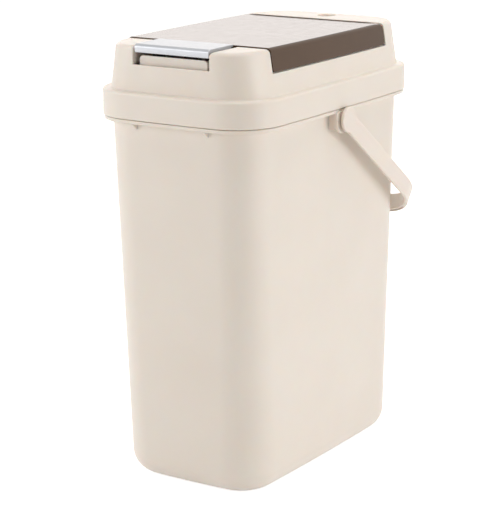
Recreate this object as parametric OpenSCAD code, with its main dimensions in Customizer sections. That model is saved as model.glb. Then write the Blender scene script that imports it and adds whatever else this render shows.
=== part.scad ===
// Push-top pail: a tapered bucket with a bail, and a lift-off cover with a sprung lid and a push latch.
// Millimetres. +Z is up, the front with the push button faces -Y, and the origin is the middle of the base.

/* [Overall] */
// Height from the floor to the top of the cover
total_h = 385; // [375:1:410]
// How far the middle of every side bows out beyond its ends
bow = 2; // [0:0.5:3]

/* [Bucket] */
// How far the cover's skirt stands out beyond the bucket's long sides
side_reach = 9.5; // [8:0.1:11]
// How far the cover's skirt stands out beyond the bucket's front and rear
end_reach = 7; // [6.4:0.1:9]
// How far each long side of the bucket leans in from the lip to the base
side_taper = 4; // [3:0.1:8]
// How far the front and the rear of the bucket lean in from the lip to the base
end_taper = 8.9; // [7:0.1:12]
// Corner radius of the bucket at its base
base_r = 35; // [30:1:42]
// Corner radius of the bucket under the lip
top_r = 31; // [29:1:36]
// Radius of the rounded lower edge
edge_r = 19.5; // [14:0.5:24]
// Thickness of the bucket wall
bucket_wall = 2.2; // [1.6:0.1:2.8]
// Thickness of the bucket floor
floor_t = 2.6; // [2.2:0.1:3.4]
// Thickness of the lip
lip_t = 3.3; // [2.8:0.1:3.6]
// Gap between the lip and the cover's skirt
lip_gap = 0.6; // [0.4:0.1:1]

/* [Cover] */
// Width of the cover across its skirt
cover_w = 174; // [172:1:180]
// Depth of the cover across its skirt
cover_d = 281.4; // [279:0.2:287]
// Corner radius of the skirt
cover_r = 39; // [37:1:42]
// Height of the cover
cover_h = 61.1; // [58:0.1:64]
// Height of the skirt
skirt_h = 22.7; // [20:0.1:24]
// Width of the ledge between the skirt and the hood
ledge = 7.3; // [6.5:0.1:7.6]
// Thickness of the cover's walls
cover_wall = 2.4; // [2:0.1:2.6]
// How far each long side of the hood leans in by its top
side_lean = 6.2; // [5:0.1:7]
// How far the front and the rear of the hood lean in by their top
end_lean = 0.3; // [0:0.1:1]
// Radius of the hood's top edge
top_edge_r = 3.6; // [3:0.1:4]
// Radius of the skirt's top edge
skirt_edge_r = 2.4; // [1.8:0.1:2.8]
// Play between the bucket's rim and the inside of the skirt
rim_play = 0.8; // [0.5:0.1:1.2]
// Diameter of the round finger dimple behind the lid
dimple_dia = 17; // [14:0.5:19]
// Depth of the finger dimple
dimple_t = 2; // [1:0.1:2.5]
// Distance from the rear of the hood to the middle of the dimple
dimple_in = 17.4; // [14:0.2:22]

/* [Lid] */
// Depth of the cover's top in front of the lid
front_deck = 39.9; // [38:0.1:43]
// Depth of the cover's top behind the lid
rear_deck = 41; // [38:0.1:44]
// Thickness of the lid
lid_t = 2.5; // [2.3:0.1:2.7]
// Height of the lid's side flanges
lid_drop = 19; // [17:0.5:21]
// Gap round the lid
lid_gap = 1.2; // [0.9:0.1:1.4]
// Radius of the lower rear corner of each flange
flange_r = 5; // [4.5:0.1:5.5]
// Thickness of the liner under the lid
liner_t = 1.8; // [1.6:0.1:2]
// Gap between the liner and the deck that it closes on
seat_gap = 0.5; // [0.4:0.1:0.8]
// Distance from each side of the hood to the waste opening
opening_side = 25.7; // [24:0.1:32]
// Distance from the lid's front edge to the waste opening
opening_fore = 17.5; // [16:0.1:23]
// Distance from the lid's rear edge to the waste opening
opening_aft = 26.4; // [25:0.1:32]
// Corner radius of the waste opening
opening_r = 14; // [10:1:20]
// Height of the collar that hangs round the opening
collar_h = 12; // [8:1:14]

/* [Hinge] */
// Diameter of the steel hinge rod
rod_dia = 4; // [3.6:0.1:4.2]
// Radial play of the hinge rod in its bores
rod_play = 0.05; // [0.03:0.01:0.08]
// Radius of the lid's rounded rear edge about the hinge rod
barrel_r = 6; // [5.8:0.1:6.2]
// Radius of the knuckles on the hinge rod
knuckle_r = 4.1; // [3.9:0.1:4.2]
// Length of the lid's middle knuckle
knuckle_mid_l = 48; // [40:1:49]
// Wire diameter of the lid springs
lid_wire = 0.8; // [0.6:0.1:0.8]
// Turns of each lid spring
lid_turns = 9; // [5:1:10]

/* [Push latch] */
// Width of the notch for the push button
notch_w = 77; // [73:0.5:79]
// Height of the notch's sill under the top of the cover
notch_h = 15.5; // [14.5:0.5:17]
// Radius where the notch meets the top of the cover
notch_r = 4; // [3:0.5:5]
// Gap at each end of the push button
button_gap = 1.2; // [0.8:0.1:1.5]
// How far the push button stands above the cover
button_proud = 1.7; // [1.2:0.1:2]
// How far the push button's face stands behind the front of the hood
button_set = 1.9; // [1.5:0.1:2.4]
// Height of the push button's front face
button_face = 7.1; // [6.5:0.1:7.6]
// Thickness of the push button's shell
button_t = 2; // [1.6:0.1:2.2]
// Gap under the push button's face, which lets it travel
button_travel = 2.5; // [2.3:0.1:3]
// Gap between each end of the latch housing and the notch
housing_gap = 4.5; // [4:0.1:5]
// Wall thickness of the latch housing
housing_wall = 2; // [1.8:0.1:2.4]
// Depth of the latch housing under the top of the cover
housing_h = 35; // [33:0.5:37]
// Distance from the latch pin to the latch spring
spring_reach = 11; // [10:0.5:12]
// Height of the lever's spring pad above the floor of the latch housing
pad_rise = 16; // [15:0.5:17]
// Distance of the lid's catch below the top of the cover
catch_drop = 14; // [13.5:0.1:14.5]
// Distance of the housing's screws behind the front of the hood
housing_screw_in = 18; // [16:0.5:20]
// Diameter of the latch pin
latch_pin_dia = 3; // [2.6:0.1:3.2]
// Radial play of the latch lever on its pin
latch_play = 0.06; // [0.03:0.01:0.08]
// How far the hook reaches over the lid's catch
hook_bite = 1.1; // [0.8:0.1:1.2]
// Wire diameter of the latch spring
latch_wire = 0.9; // [0.7:0.1:1]
// Turns of the latch spring
latch_turns = 6; // [4:1:7]

/* [Bail] */
// Angle of the bail below level as it rests on the back of the bucket
bail_angle = 36.8; // [34:0.1:40]
// Distance of the bail's pivots below the lip
pivot_drop = 6; // [5:0.5:16]
// Width of the bail's strap
strap_w = 16.6; // [14:0.2:18]
// Thickness of the bail's arms
arm_t = 3; // [2.6:0.1:3.6]
// How far the strap's middle line runs below the pivots
strap_drop = 1.2; // [0:0.1:1.5]
// Thickness of the grip
grip_t = 6.5; // [5.5:0.1:8]
// Inner radius of the bail's corners
bail_r = 45; // [36:1:52]
// Wall thickness of the hollow grip
grip_wall = 1.8; // [1.5:0.1:2]
// Radius of the bail's round ends
eye_r = 11.2; // [10.5:0.1:12]
// Clearance between the bail's arms and the cover's skirt
bail_side_gap = 3.4; // [2:0.1:4]
// Length of the bail's hubs between the arms and the ears
hub_l = 2.2; // [2:0.1:3.2]
// Radius of the bail's hubs
hub_r = 7.5; // [6.5:0.1:8.5]
// Diameter of the bail's pivot studs
stud_dia = 8; // [7:0.1:9]
// Length of the pivot studs inside the ears
stud_l = 6.5; // [5:0.1:7]
// Radial play of the studs in the ears
stud_play = 0.08; // [0.05:0.01:0.1]
// Radius of the ears on the bucket
ear_r = 12.5; // [12:0.1:13.5]
// Thickness of the ears' round outer plates
ear_plate_t = 4; // [3:0.1:5]
// How far the block between an ear's plate and the bucket reaches before and behind the pivot
ear_block = 9.8; // [8:0.1:12]
// How far that block reaches below the pivot
ear_block_drop = 9; // [7:0.1:11]
// Gap between the resting grip and the back of the bucket
bail_rest_gap = 0.4; // [0.3:0.1:1]

/* [Screws] */
// Thread diameter of the screws
screw_dia = 3; // [2.8:0.1:3.2]
// Length of the screws under the head
screw_l = 10; // [8:1:12]
// Radius of the screw heads
screw_head_r = 2.9; // [2.6:0.1:3.1]
// Height of the screw heads
screw_head_h = 2; // [1.8:0.1:2.2]
// Radius of the bosses that take the screws
boss_r = 4; // [3.8:0.1:4.4]
// Thickness of the tabs under the bosses
tab_t = 2.4; // [2:0.1:2.8]

/* [Hidden] */

cream = [0.92, 0.87, 0.80];
brown = [0.42, 0.35, 0.30];
silver = [0.85, 0.87, 0.90];
steel = [0.60, 0.61, 0.63];
grey = [0.30, 0.30, 0.30];
eps = 0.01;
far = 2 * (total_h + cover_d);

corner_steps = 8;
side_steps = 6;
edge_steps = 5;

cover_z = total_h - cover_h;
lip_z = cover_z - lip_gap - lip_t;
pivot_z = lip_z - pivot_drop;
top_w = cover_w - 2 * side_reach;
top_d = cover_d - 2 * end_reach;
base_w = top_w - 2 * side_taper;
base_d = top_d - 2 * end_taper;
skirt_top = cover_z + skirt_h;
hood_w = cover_w - 2 * ledge;
hood_d = cover_d - 2 * ledge;
hood_r = cover_r - ledge;
hood_h = total_h - skirt_top;
rim_w = cover_w - 2 * cover_wall - 2 * rim_play;
rim_d = cover_d - 2 * cover_wall - 2 * rim_play;
rim_r = cover_r - cover_wall - rim_play;
rim_top = skirt_top - cover_wall;
lip_inset = 0.8;
lip_round = 1;
skirt_chamfer = 0.6;
dimple_y = hood_d / 2 - dimple_in;

lid_front = hood_d / 2 - front_deck;
lid_rear = hood_d / 2 - rear_deck;
opening_w = hood_w - 2 * opening_side;
opening_front = lid_front - opening_fore;
opening_rear = lid_rear - opening_aft;
liner_z = total_h - lid_t - liner_t;
deck_top = liner_z - seat_gap;
frame_t = 2.4;
frame_play = 0.1;
cheek_t = 2;
flange_l = 9;
roof_z = total_h - cover_wall;
flange_z = total_h - lid_drop;
recess_z = flange_z - 0.8;
recess_play = 1.4;
slot_front = -lid_front - lid_gap;
slot_rear = lid_rear + 1;

lid_nose_r = 1.5;
plug_h = 5;
plug_gap = 2;
bumper_r = 3.4;
bumper_stem = 1.5;
bumper_ys = [(slot_front - opening_front) / 2, (opening_rear + lid_rear - 2 * barrel_r) / 2 - 2];

// The hinge rod's axis, about which the lid's rear edge is round
hinge_y = lid_rear - barrel_r;
hinge_z = total_h - barrel_r;
barrel_in = knuckle_r + 0.2;
trough_front = hinge_y - barrel_r - 2.4;
trough_z = hinge_z - barrel_r - 2;
bracket_t = 2;
seat_half = hood_width(hinge_z) / 2 - lid_t - recess_play - frame_t;
rod_half = seat_half - 1.5;
curl_half = rod_half + 1.2;
bracket_half = seat_half - 2.5;
clip_in = 1.6;
clip_t = 1;
knuckle_gap = 1.2;
post_w = 4.5;
post_out = rod_half - clip_in - 0.3 - post_w;
post_in = 42.5;
lid_coil_l = 13;
lid_coil_r = (rod_dia / 2 + knuckle_r) / 2;
spring_x = knuckle_mid_l / 2 + 2;
lid_leg = 22;
bumper_x = spring_x + lid_coil_l + 2 * bumper_r + 0.2;
trough_back_leg = 6.5;

// The push button and its latch
button_w = notch_w - 2 * button_gap;
front_y = -hood_depth(total_h - notch_h) / 2;
button_front = front_y + button_set;
button_rear = slot_front - 0.5;
button_top = total_h + button_proud;
button_r = 3;
button_peg_x = 24;
button_peg_r = 2;
plate_top = button_top - button_t;
plate_t = 2.5;
housing_w = notch_w - 2 * housing_gap;
housing_r = 3.5;
housing_front = front_y + 4.6;
housing_rear = slot_front - 4.4;
housing_top = button_top - button_face - button_travel;
housing_z = total_h - housing_h;
pin_y = housing_rear - 7.5;
pin_z = housing_z + 5;
pin_half = housing_w / 2;
spring_y = pin_y - spring_reach;
pad_z = housing_z + pad_rise;
peg_h = 3;
latch_peg_r = 2.8;
lever_half = housing_w / 2 - housing_wall - 1;
lever_front = button_front + button_t + button_r - 0.8;
lever_hub_r = 3.4;
rib_x = lever_half - 6;
rib_t = 3;
hook_w = 12;
hook_t = 2.6;
hook_h = 2.8;
catch_t = 2.4;
catch_y = -lid_front + 1.3;
catch_z = total_h - catch_drop;
nose_h = 2.5;
nose_l = 2.2;
hook_z = catch_z + nose_h + 0.3;
hook_tip = catch_y - nose_l + hook_bite;
hook_arm_y = housing_rear - housing_wall - 0.6;

// The bail, level and reaching back along +Y until it is turned to its angle
arm_in = cover_w / 2 + bail_side_gap;
arm_out = arm_in + arm_t;
ear_x = arm_in - hub_l - 0.2;
strap_low = strap_w / 2 + strap_drop;
wall_slope = (top_d - base_d) / 2 / lip_z;
wall_at_low_edge = base_d / 2 + wall_slope * (pivot_z - strap_low * cos(bail_angle));
grip_in = (wall_at_low_edge + bail_rest_gap + strap_low * sin(bail_angle))
        / (cos(bail_angle) + wall_slope * sin(bail_angle));
grip_out = grip_in + grip_t;

housing_screw_x = notch_w / 2 + 7.5;
housing_screw_y = front_y + housing_screw_in;
bracket_screw_x = opening_w / 2;
bracket_screw_y = slot_rear + flange_l + boss_r + 0.5;
pilot_r = screw_dia / 2 + 0.05;
screw_hole_r = screw_dia / 2 + 0.2;

function bucket_width(z) = base_w + (top_w - base_w) * z / lip_z;
function bucket_depth(z) = base_d + (top_d - base_d) * z / lip_z;
function bucket_radius(z) = base_r + (top_r - base_r) * z / lip_z;
function hood_width(z) = hood_w - 2 * side_lean * (z - skirt_top) / hood_h;
function hood_depth(z) = hood_d - 2 * end_lean * (z - skirt_top) / hood_h;

// Points of a rounded rectangle whose sides bow, counter-clockwise
function between(a, b) = [for (i = [1:side_steps - 1]) a + (b - a) * i / side_steps];
function corner(cx, cy, r, start) = [for (i = [0:corner_steps])
    [cx + r * cos(start + 90 * i / corner_steps), cy + r * sin(start + 90 * i / corner_steps)]];
function ring(w, d, r) =
    let (hw = w / 2, hd = d / 2, x = hw - r, y = hd - r,
         raw = concat(corner(x, y, r, 0), between([x, hd], [-x, hd]),
                      corner(-x, y, r, 90), between([-hw, y], [-hw, -y]),
                      corner(-x, -y, r, 180), between([-x, -hd], [x, -hd]),
                      corner(x, -y, r, 270), between([hw, -y], [hw, y])))
    [for (p = raw) [p.x * (1 - bow / hw * pow(p.y / hd, 2)), p.y * (1 - bow / hd * pow(p.x / hw, 2))]];

// Skins a row of rings, each a list of as many points, counter-clockwise as seen from the row's end
module skin(rings) {
    n = len(rings[0]);
    last = (len(rings) - 1) * n;
    polyhedron(
        points = [for (r = rings) for (p = r) p],
        faces = concat(
            [[for (j = [0:n - 1]) j]],
            [[for (j = [n - 1:-1:0]) last + j]],
            [for (i = [0:len(rings) - 2]) for (j = [0:n - 1])
                let (a = i * n + j, b = i * n + (j + 1) % n) [a, a + n, b]],
            [for (i = [0:len(rings) - 2]) for (j = [0:n - 1])
                let (b = i * n + (j + 1) % n, c = i * n + j + n) [b, c, b + n]]));
}

// Skins levels given as [width, depth, corner radius, height]
module loft(levels) {
    skin([for (l = levels) [for (p = ring(l[0], l[1], l[2])) [p.x, p.y, l[3]]]]);
}

// Wound wire about Z, whose ends run on straight; rise gives the height for each share of the winding
module wire_coil(r, wire, start, turns, lead_in, lead_out, rises) {
    steps = ceil(turns * 18);
    wound = [for (i = [0:steps])
        wire_ring(r, wire, start + 360 * turns * i / steps, lookup(i / steps, rises))];
    skin(concat([drawn_on(wound[0], start, -lead_in)], wound,
                [drawn_on(wound[steps], start + 360 * turns, lead_out)]));
}
function wire_ring(r, wire, a, z) = [for (b = [0:45:315])
    [(r + wire / 2 * sin(b)) * cos(a), (r + wire / 2 * sin(b)) * sin(a), z + wire / 2 * cos(b)]];
function drawn_on(ring, a, l) = [for (p = ring) [p.x - l * sin(a), p.y + l * cos(a), p.z]];

// A box between two corners
module block(low, high) {
    translate(low) cube(high - low);
}

// A cylinder along X between two places
module rod_x(x0, x1, y, z, r, fn = 48) {
    translate([x0, y, z]) rotate([0, 90, 0]) cylinder(r = r, h = x1 - x0, $fn = fn);
}

// A profile drawn as [y, z], drawn out along X
module slab_x(x0, x1) {
    translate([x0, 0, 0]) rotate([90, 0, 90]) linear_extrude(x1 - x0) children();
}

// A profile drawn as [x, z], drawn out along Y
module slab_y(y0, y1) {
    translate([0, y1, 0]) rotate([90, 0, 0]) linear_extrude(y1 - y0) children();
}

module both_sides() {
    children();
    mirror([1, 0, 0]) children();
}

module bucket_outside() {
    loft(concat(
        [for (k = [0:edge_steps + 1])
            let (a = 90 * k / (edge_steps + 1), s = edge_r * (1 - sin(a)), z = edge_r * (1 - cos(a)))
            [bucket_width(z) - 2 * s, bucket_depth(z) - 2 * s, bucket_radius(z) - s, z]],
        [[top_w, top_d, top_r, lip_z],
         [cover_w - 2 * lip_inset - 2 * lip_round, cover_d - 2 * lip_inset - 2 * lip_round,
          cover_r - lip_inset - lip_round, lip_z],
         [cover_w - 2 * lip_inset, cover_d - 2 * lip_inset, cover_r - lip_inset, lip_z + lip_round],
         [cover_w - 2 * lip_inset, cover_d - 2 * lip_inset, cover_r - lip_inset, lip_z + lip_t],
         [rim_w, rim_d, rim_r, lip_z + lip_t],
         [rim_w, rim_d, rim_r, rim_top]]));
}

module bucket_inside() {
    in_r = edge_r - bucket_wall;
    t = 2 * bucket_wall;
    loft(concat(
        [for (k = [0:edge_steps])
            let (a = 90 * k / edge_steps, s = in_r * (1 - sin(a)), z = floor_t + in_r * (1 - cos(a)))
            [bucket_width(z) - t - 2 * s, bucket_depth(z) - t - 2 * s,
             bucket_radius(z) - bucket_wall - s, z]],
        [[top_w - t, top_d - t, top_r - bucket_wall, lip_z + bucket_wall],
         [rim_w - t, rim_d - t, rim_r - bucket_wall, lip_z + bucket_wall],
         [rim_w - t, rim_d - t, rim_r - bucket_wall, rim_top + 1]]));
}

// The ear that carries one end of the bail, rounded under its pivot
module ear() {
    from = bucket_width(pivot_z) / 2 - bucket_wall;
    intersection() {
        union() {
            rod_x(ear_x - ear_plate_t, ear_x, 0, pivot_z, ear_r, 64);
            block([ear_x - ear_plate_t, -ear_r, pivot_z], [ear_x, ear_r, far]);
            block([from, -ear_block, pivot_z - ear_block_drop],
                  [ear_x - ear_plate_t + eps, ear_block, far]);
        }
        block([0, -far, 0], [far, far, lip_z + lip_t / 2]);
    }
}

// A small gusset under the lip, on the front
module gusset() {
    x = 36;
    wall = -top_d / 2 + bow * pow(2 * x / top_w, 2);
    slab_x(x - 1, x + 1)
        polygon([[wall + 1, lip_z + 1], [wall - 6, lip_z + 1], [wall - 6, lip_z], [wall + 1, lip_z - 6]]);
}

module bucket() color(cream) {
    difference() {
        union() {
            bucket_outside();
            both_sides() ear();
            both_sides() gusset();
        }
        bucket_inside();
        both_sides() rod_x(ear_x - stud_l - 0.5, ear_x + 1, 0, pivot_z, stud_dia / 2 + stud_play, 64);
    }
}

// The bail's strap in its own plane has straight arms, round corners and a straight grip
function bail_curve(a, b) = [for (i = [0:16])
    [arm_in - bail_r + a * cos(90 * i / 16), grip_in - bail_r + b * sin(90 * i / 16)]];
function mirrored(points) = [for (i = [len(points) - 1:-1:0]) [-points[i].x, points[i].y]];

module bail_strap() {
    outer = bail_curve(bail_r + arm_t, bail_r + grip_t);
    inner = bail_curve(bail_r, bail_r);
    half = concat([[arm_out, 0]], outer, [[0, grip_out], [0, grip_in]],
                  [for (i = [len(inner) - 1:-1:0]) inner[i]], [[arm_in, 0]]);
    both_sides() linear_extrude(strap_w, center = true) polygon(half);
}

// The hollow of the grip, open on the side that faces down at rest
module grip_hollow() {
    first = 6;
    outer = bail_curve(bail_r + arm_t - grip_wall, bail_r + grip_t - grip_wall);
    inner = bail_curve(bail_r + grip_wall, bail_r + grip_wall);
    half = concat([for (i = [first:16]) outer[i]],
                  [[-eps, grip_out - grip_wall], [-eps, grip_in + grip_wall]],
                  [for (i = [16:-1:first]) inner[i]]);
    both_sides() translate([0, 0, -strap_w / 2 - 1]) linear_extrude(strap_w - grip_wall) polygon(half);
}

module bail_end() {
    rod_x(arm_in, arm_out, 0, 0, eye_r, 64);
    rod_x(ear_x + 0.2, arm_in + eps, 0, 0, hub_r, 64);
    rod_x(ear_x - stud_l, arm_in, 0, 0, stud_dia / 2, 64);
}

module bail_handle() color(cream) {
    translate([0, 0, pivot_z]) rotate([-bail_angle, 0, 0]) {
        translate([0, 0, -strap_drop]) difference() {
            bail_strap();
            grip_hollow();
        }
        both_sides() bail_end();
    }
}

// The cover's outer form, drawn in by an inset all round and above
module cover_form(inset = 0, bottom = cover_z) {
    e = max(top_edge_r - inset, 0.6);
    s = max(skirt_edge_r - inset, 0.4);
    top = total_h - inset;
    ledge_top = skirt_top - inset;
    loft(concat(
        [[cover_w - 2 * inset - 2 * skirt_chamfer, cover_d - 2 * inset - 2 * skirt_chamfer,
          cover_r - inset - skirt_chamfer, bottom],
         [cover_w - 2 * inset, cover_d - 2 * inset, cover_r - inset, cover_z + skirt_chamfer]],
        [for (k = [0:3]) let (a = 30 * k, i = inset + s * (1 - cos(a)))
            [cover_w - 2 * i, cover_d - 2 * i, cover_r - i, ledge_top - s * (1 - sin(a))]],
        [[hood_width(ledge_top + 0.3) - 2 * inset, hood_depth(ledge_top + 0.3) - 2 * inset,
          hood_r - inset, ledge_top + 0.3]],
        [for (k = [0:edge_steps])
            let (a = 90 * k / edge_steps, i = inset + e * (1 - cos(a)), z = top - e * (1 - sin(a)))
            [hood_width(z) - 2 * i, hood_depth(z) - 2 * i, hood_r - i, z]]));
}

// The hood alone, drawn in by an inset, cut off level at a height
module hood_form(inset, low, high) {
    loft([for (z = [low, high])
        [hood_width(z) - 2 * inset, hood_depth(z) - 2 * inset, hood_r - inset, z]]);
}

// The notch's outline, drawn as [x, z], flaring where it meets the top
module notch_outline() {
    sill = total_h - notch_h;
    half = notch_w / 2;
    flare = [for (i = [0:6])
        [half + notch_r * (1 - cos(15 * i)), total_h - notch_r + notch_r * sin(15 * i)]];
    polygon(concat([[-half, sill], [half, sill]], flare, [[half + notch_r, total_h + 5]],
                   mirrored(concat(flare, [[half + notch_r, total_h + 5]]))));
}

module opening_outline(grow) {
    w = opening_w + 2 * grow;
    d = opening_front + opening_rear + 2 * grow;
    translate([0, (opening_rear - opening_front) / 2]) union() {
        square([w - 2 * (opening_r + grow), d], center = true);
        square([w, d - 2 * (opening_r + grow)], center = true);
        for (x = [-1, 1]) for (y = [-1, 1])
            translate([x * (w / 2 - opening_r - grow), y * (d / 2 - opening_r - grow)])
                circle(r = opening_r + grow, $fn = 48);
    }
}

// The frame that closes the cover under the lid: side walls and deck, ledges, end walls, collar and flange
module deck_frame() color(cream) {
    inset = lid_t + recess_play;
    difference() {
        union() {
            difference() {
                intersection() {
                    hood_form(inset, recess_z - frame_t, deck_top);
                    block([-far, slot_front - frame_t / 2, 0], [far, slot_rear + frame_t / 2, far]);
                }
                difference() {
                    hood_form(inset + frame_t, recess_z - frame_t - 1, deck_top + 1);
                    block([-far, -far, deck_top - frame_t], [far, trough_front, far]);
                }
            }
            intersection() {
                hood_form(cover_wall + frame_play, recess_z - frame_t, recess_z);
                difference() {
                    block([-far, slot_front - frame_t, 0], [far, slot_rear + frame_t, far]);
                    hood_form(inset + frame_t / 2, 0, far);
                }
            }
            intersection() {
                cover_form(cover_wall + frame_play);
                union() {
                    block([-far, slot_front - frame_t, recess_z - frame_t], [far, slot_front, far]);
                    block([-far, slot_rear, trough_z], [far, slot_rear + frame_t, far]);
                    both_sides() block([notch_w / 2 + cheek_t + 1, slot_front - flange_l, roof_z - frame_t],
                                       [far, slot_front - frame_t + eps, far]);
                    block([-far, slot_rear + frame_t - eps, roof_z - frame_t],
                          [far, slot_rear + flange_l, far]);
                }
            }
            block([-seat_half - 1, trough_front - frame_t, trough_z],
                  [seat_half + 1, trough_front, deck_top - eps]);
            collar();
        }
        translate([0, 0, deck_top - collar_h - 1]) linear_extrude(far) opening_outline(0);
        block([-notch_w / 2 - cheek_t - 1, -far, deck_top],
              [notch_w / 2 + cheek_t + 1, slot_front + eps, far]);
        bumper_places() translate([0, 0, deck_top - frame_t - 1])
            cylinder(r = bumper_stem + 0.05, h = 5, $fn = 32);
        block([-hook_w / 2 - 3, slot_front - frame_t - 1, catch_z - 4],
              [hook_w / 2 + 3, catch_y + catch_t + 2.5, far]);
        rod_x(-far, far, hinge_y, hinge_z, barrel_r + 0.6, 64);
    }
}

module collar() {
    translate([0, 0, deck_top - collar_h]) linear_extrude(collar_h) difference() {
        opening_outline(1.8);
        opening_outline(0);
    }
}

// The two walls beside the push button, rounding over into the top of the cover
module notch_cheeks() {
    intersection() {
        cover_form(0.3);
        both_sides() block([notch_w / 2 - eps, -far, total_h - notch_h - 2],
                           [notch_w / 2 + cheek_t, slot_front - frame_t - 0.5, far]);
    }
}

module hood_bosses() {
    both_sides() {
        translate([housing_screw_x, housing_screw_y, housing_z + tab_t])
            cylinder(r = boss_r, h = roof_z - housing_z - tab_t + 0.5, $fn = 24);
        translate([bracket_screw_x, bracket_screw_y, trough_z])
            cylinder(r = boss_r, h = roof_z - trough_z + 0.5, $fn = 24);
    }
}

module hood_pilots() {
    both_sides() {
        translate([housing_screw_x, housing_screw_y, housing_z])
            cylinder(r = pilot_r, h = screw_l + 4, $fn = 24);
        translate([bracket_screw_x, bracket_screw_y, trough_z - 1])
            cylinder(r = pilot_r, h = screw_l - bracket_t + 1.5, $fn = 24);
    }
}

module hood_cover() color(cream) {
    difference() {
        union() {
            difference() {
                cover_form();
                cover_form(cover_wall, cover_z - 1);
                block([-far, slot_front, recess_z], [far, slot_rear, far]);
            }
            notch_cheeks();
            hood_bosses();
            translate([0, dimple_y, roof_z - dimple_t])
                cylinder(r = dimple_dia / 2 + 1.5, h = dimple_t + eps, $fn = 64);
        }
        translate([0, dimple_y, total_h - dimple_t]) cylinder(r = dimple_dia / 2, h = far, $fn = 64);
        slab_y(-far, slot_front + 1) notch_outline();
        hood_pilots();
    }
}

// The lid as seen from its side: square in front, round about the hinge at the rear
function arc(cy, cz, r, from, to) = [for (i = [0:8])
    [cy + r * cos(from + (to - from) * i / 8), cz + r * sin(from + (to - from) * i / 8)]];
module lid_side_outline() {
    polygon(concat(
        arc(-lid_front + lid_nose_r, flange_z + lid_nose_r, lid_nose_r, 180, 270),
        arc(lid_rear - flange_r, flange_z + flange_r, flange_r, 270, 360),
        arc(hinge_y, hinge_z, barrel_r, 0, 90),
        [[hinge_y, total_h + 1], [-lid_front, total_h + 1]]));
}

module lid_knuckles() {
    r = barrel_in + 0.5;
    rod_x(-knuckle_mid_l / 2, knuckle_mid_l / 2, hinge_y, hinge_z, r);
    both_sides() rod_x(post_in + post_w + knuckle_gap, post_out - knuckle_gap, hinge_y, hinge_z, r);
}

module lid_panel() color(brown) {
    difference() {
        union() {
            difference() {
                intersection() {
                    cover_form();
                    slab_x(-far, far) lid_side_outline();
                }
                difference() {
                    hood_form(lid_t, flange_z - 1, total_h - lid_t);
                    block([-far, hinge_y, hinge_z], [far, far, far]);
                }
                rod_x(-curl_half, curl_half, hinge_y, hinge_z, barrel_in, 64);
            }
            lid_knuckles();
        }
        rod_x(-curl_half, curl_half, hinge_y, hinge_z, rod_dia / 2 + rod_play);
    }
}

// The striker that the hook holds: a strip with a nose along its lower edge
module lid_catch() {
    slab_x(-hook_w / 2, hook_w / 2)
        polygon([[catch_y + catch_t, liner_z + eps], [catch_y, liner_z + eps], [catch_y, catch_z + nose_h],
                 [catch_y - nose_l, catch_z + nose_h], [catch_y - nose_l, catch_z + nose_h - 0.8],
                 [catch_y, catch_z], [catch_y + catch_t, catch_z]]);
}

module lid_liner() color(cream) {
    difference() {
        union() {
            intersection() {
                hood_form(lid_t + 0.4, liner_z, total_h - lid_t);
                block([-far, -lid_front + 1.2, 0], [far, trough_front - 1.5, far]);
            }
            translate([0, 0, liner_z - plug_h]) linear_extrude(plug_h + eps) difference() {
                opening_outline(-plug_gap);
                opening_outline(-plug_gap - liner_t);
            }
            lid_catch();
        }
        bumper_places() translate([0, 0, liner_z - 1])
            cylinder(r = bumper_r + 0.8, h = 10, $fn = 32);
        both_sides() block([spring_x + lid_coil_l - lid_wire - 0.6, hinge_y - lid_leg - 0.3, liner_z - 1],
                           [spring_x + lid_coil_l + 0.6, far, far]);
    }
}

module bumper_places() {
    both_sides() for (y = bumper_ys) translate([bumper_x, y, 0]) children();
}

// Rubber studs pushed into the deck, which the closed lid comes down on
module lid_bumpers() color(grey) {
    bumper_places() {
        translate([0, 0, deck_top]) cylinder(r = bumper_r, h = total_h - lid_t - 0.1 - deck_top, $fn = 32);
        translate([0, 0, deck_top - frame_t - 1]) cylinder(r = bumper_stem, h = frame_t + 1.5, $fn = 32);
        translate([0, 0, deck_top - frame_t - 1.2]) cylinder(r = bumper_stem + 0.8, h = 1.2, $fn = 32);
    }
}

// A post of the bracket: an eye about the rod on a leg that stands clear of the opening lid
module hinge_post(x) {
    difference() {
        union() {
            rod_x(x, x + post_w, hinge_y, hinge_z, knuckle_r);
            block([x, hinge_y - knuckle_r - 1.5, trough_z - eps], [x + post_w, hinge_y - 0.8, hinge_z]);
        }
        rod_x(x - 1, x + post_w + 1, hinge_y, hinge_z, rod_dia / 2 + 0.02);
    }
}

module hinge_bracket() color(grey) {
    plate_rear = bracket_screw_y + boss_r;
    difference() {
        block([-bracket_half, trough_front - frame_t, trough_z - bracket_t],
              [bracket_half, plate_rear, trough_z]);
        both_sides() translate([bracket_screw_x, bracket_screw_y, 0])
            cylinder(r = screw_hole_r, h = far, $fn = 32);
    }
    both_sides() {
        hinge_post(post_out);
        hinge_post(post_in);
        spring_seat_top = hinge_z - lid_coil_r - lid_wire / 2 - 0.05;
        block([spring_x, trough_front + 0.4, trough_z - eps],
              [spring_x + lid_coil_l, trough_front + 3, spring_seat_top]);
    }
}

module hinge_rod() color(steel) rod_x(-rod_half, rod_half, hinge_y, hinge_z, rod_dia / 2);

module rod_clips() color(steel) {
    both_sides() difference() {
        rod_x(rod_half - clip_in, rod_half - clip_in + clip_t, hinge_y, hinge_z, rod_dia / 2 + 1.5);
        rod_x(0, far, hinge_y, hinge_z, rod_dia / 2 + 0.02);
    }
}

// A torsion spring on the hinge rod, with one leg under the lid and one on the bracket
module lid_spring() {
    pitch = (lid_coil_l - lid_wire) / lid_turns;
    translate([spring_x + lid_wire / 2, hinge_y, hinge_z]) rotate([90, 0, 90])
        wire_coil(lid_coil_r, lid_wire, 270, lid_turns + 0.5, trough_back_leg, lid_leg,
                  [[0, 0], [1, pitch * lid_turns]]);
}

module lid_spring_right() color(steel) lid_spring();

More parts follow.
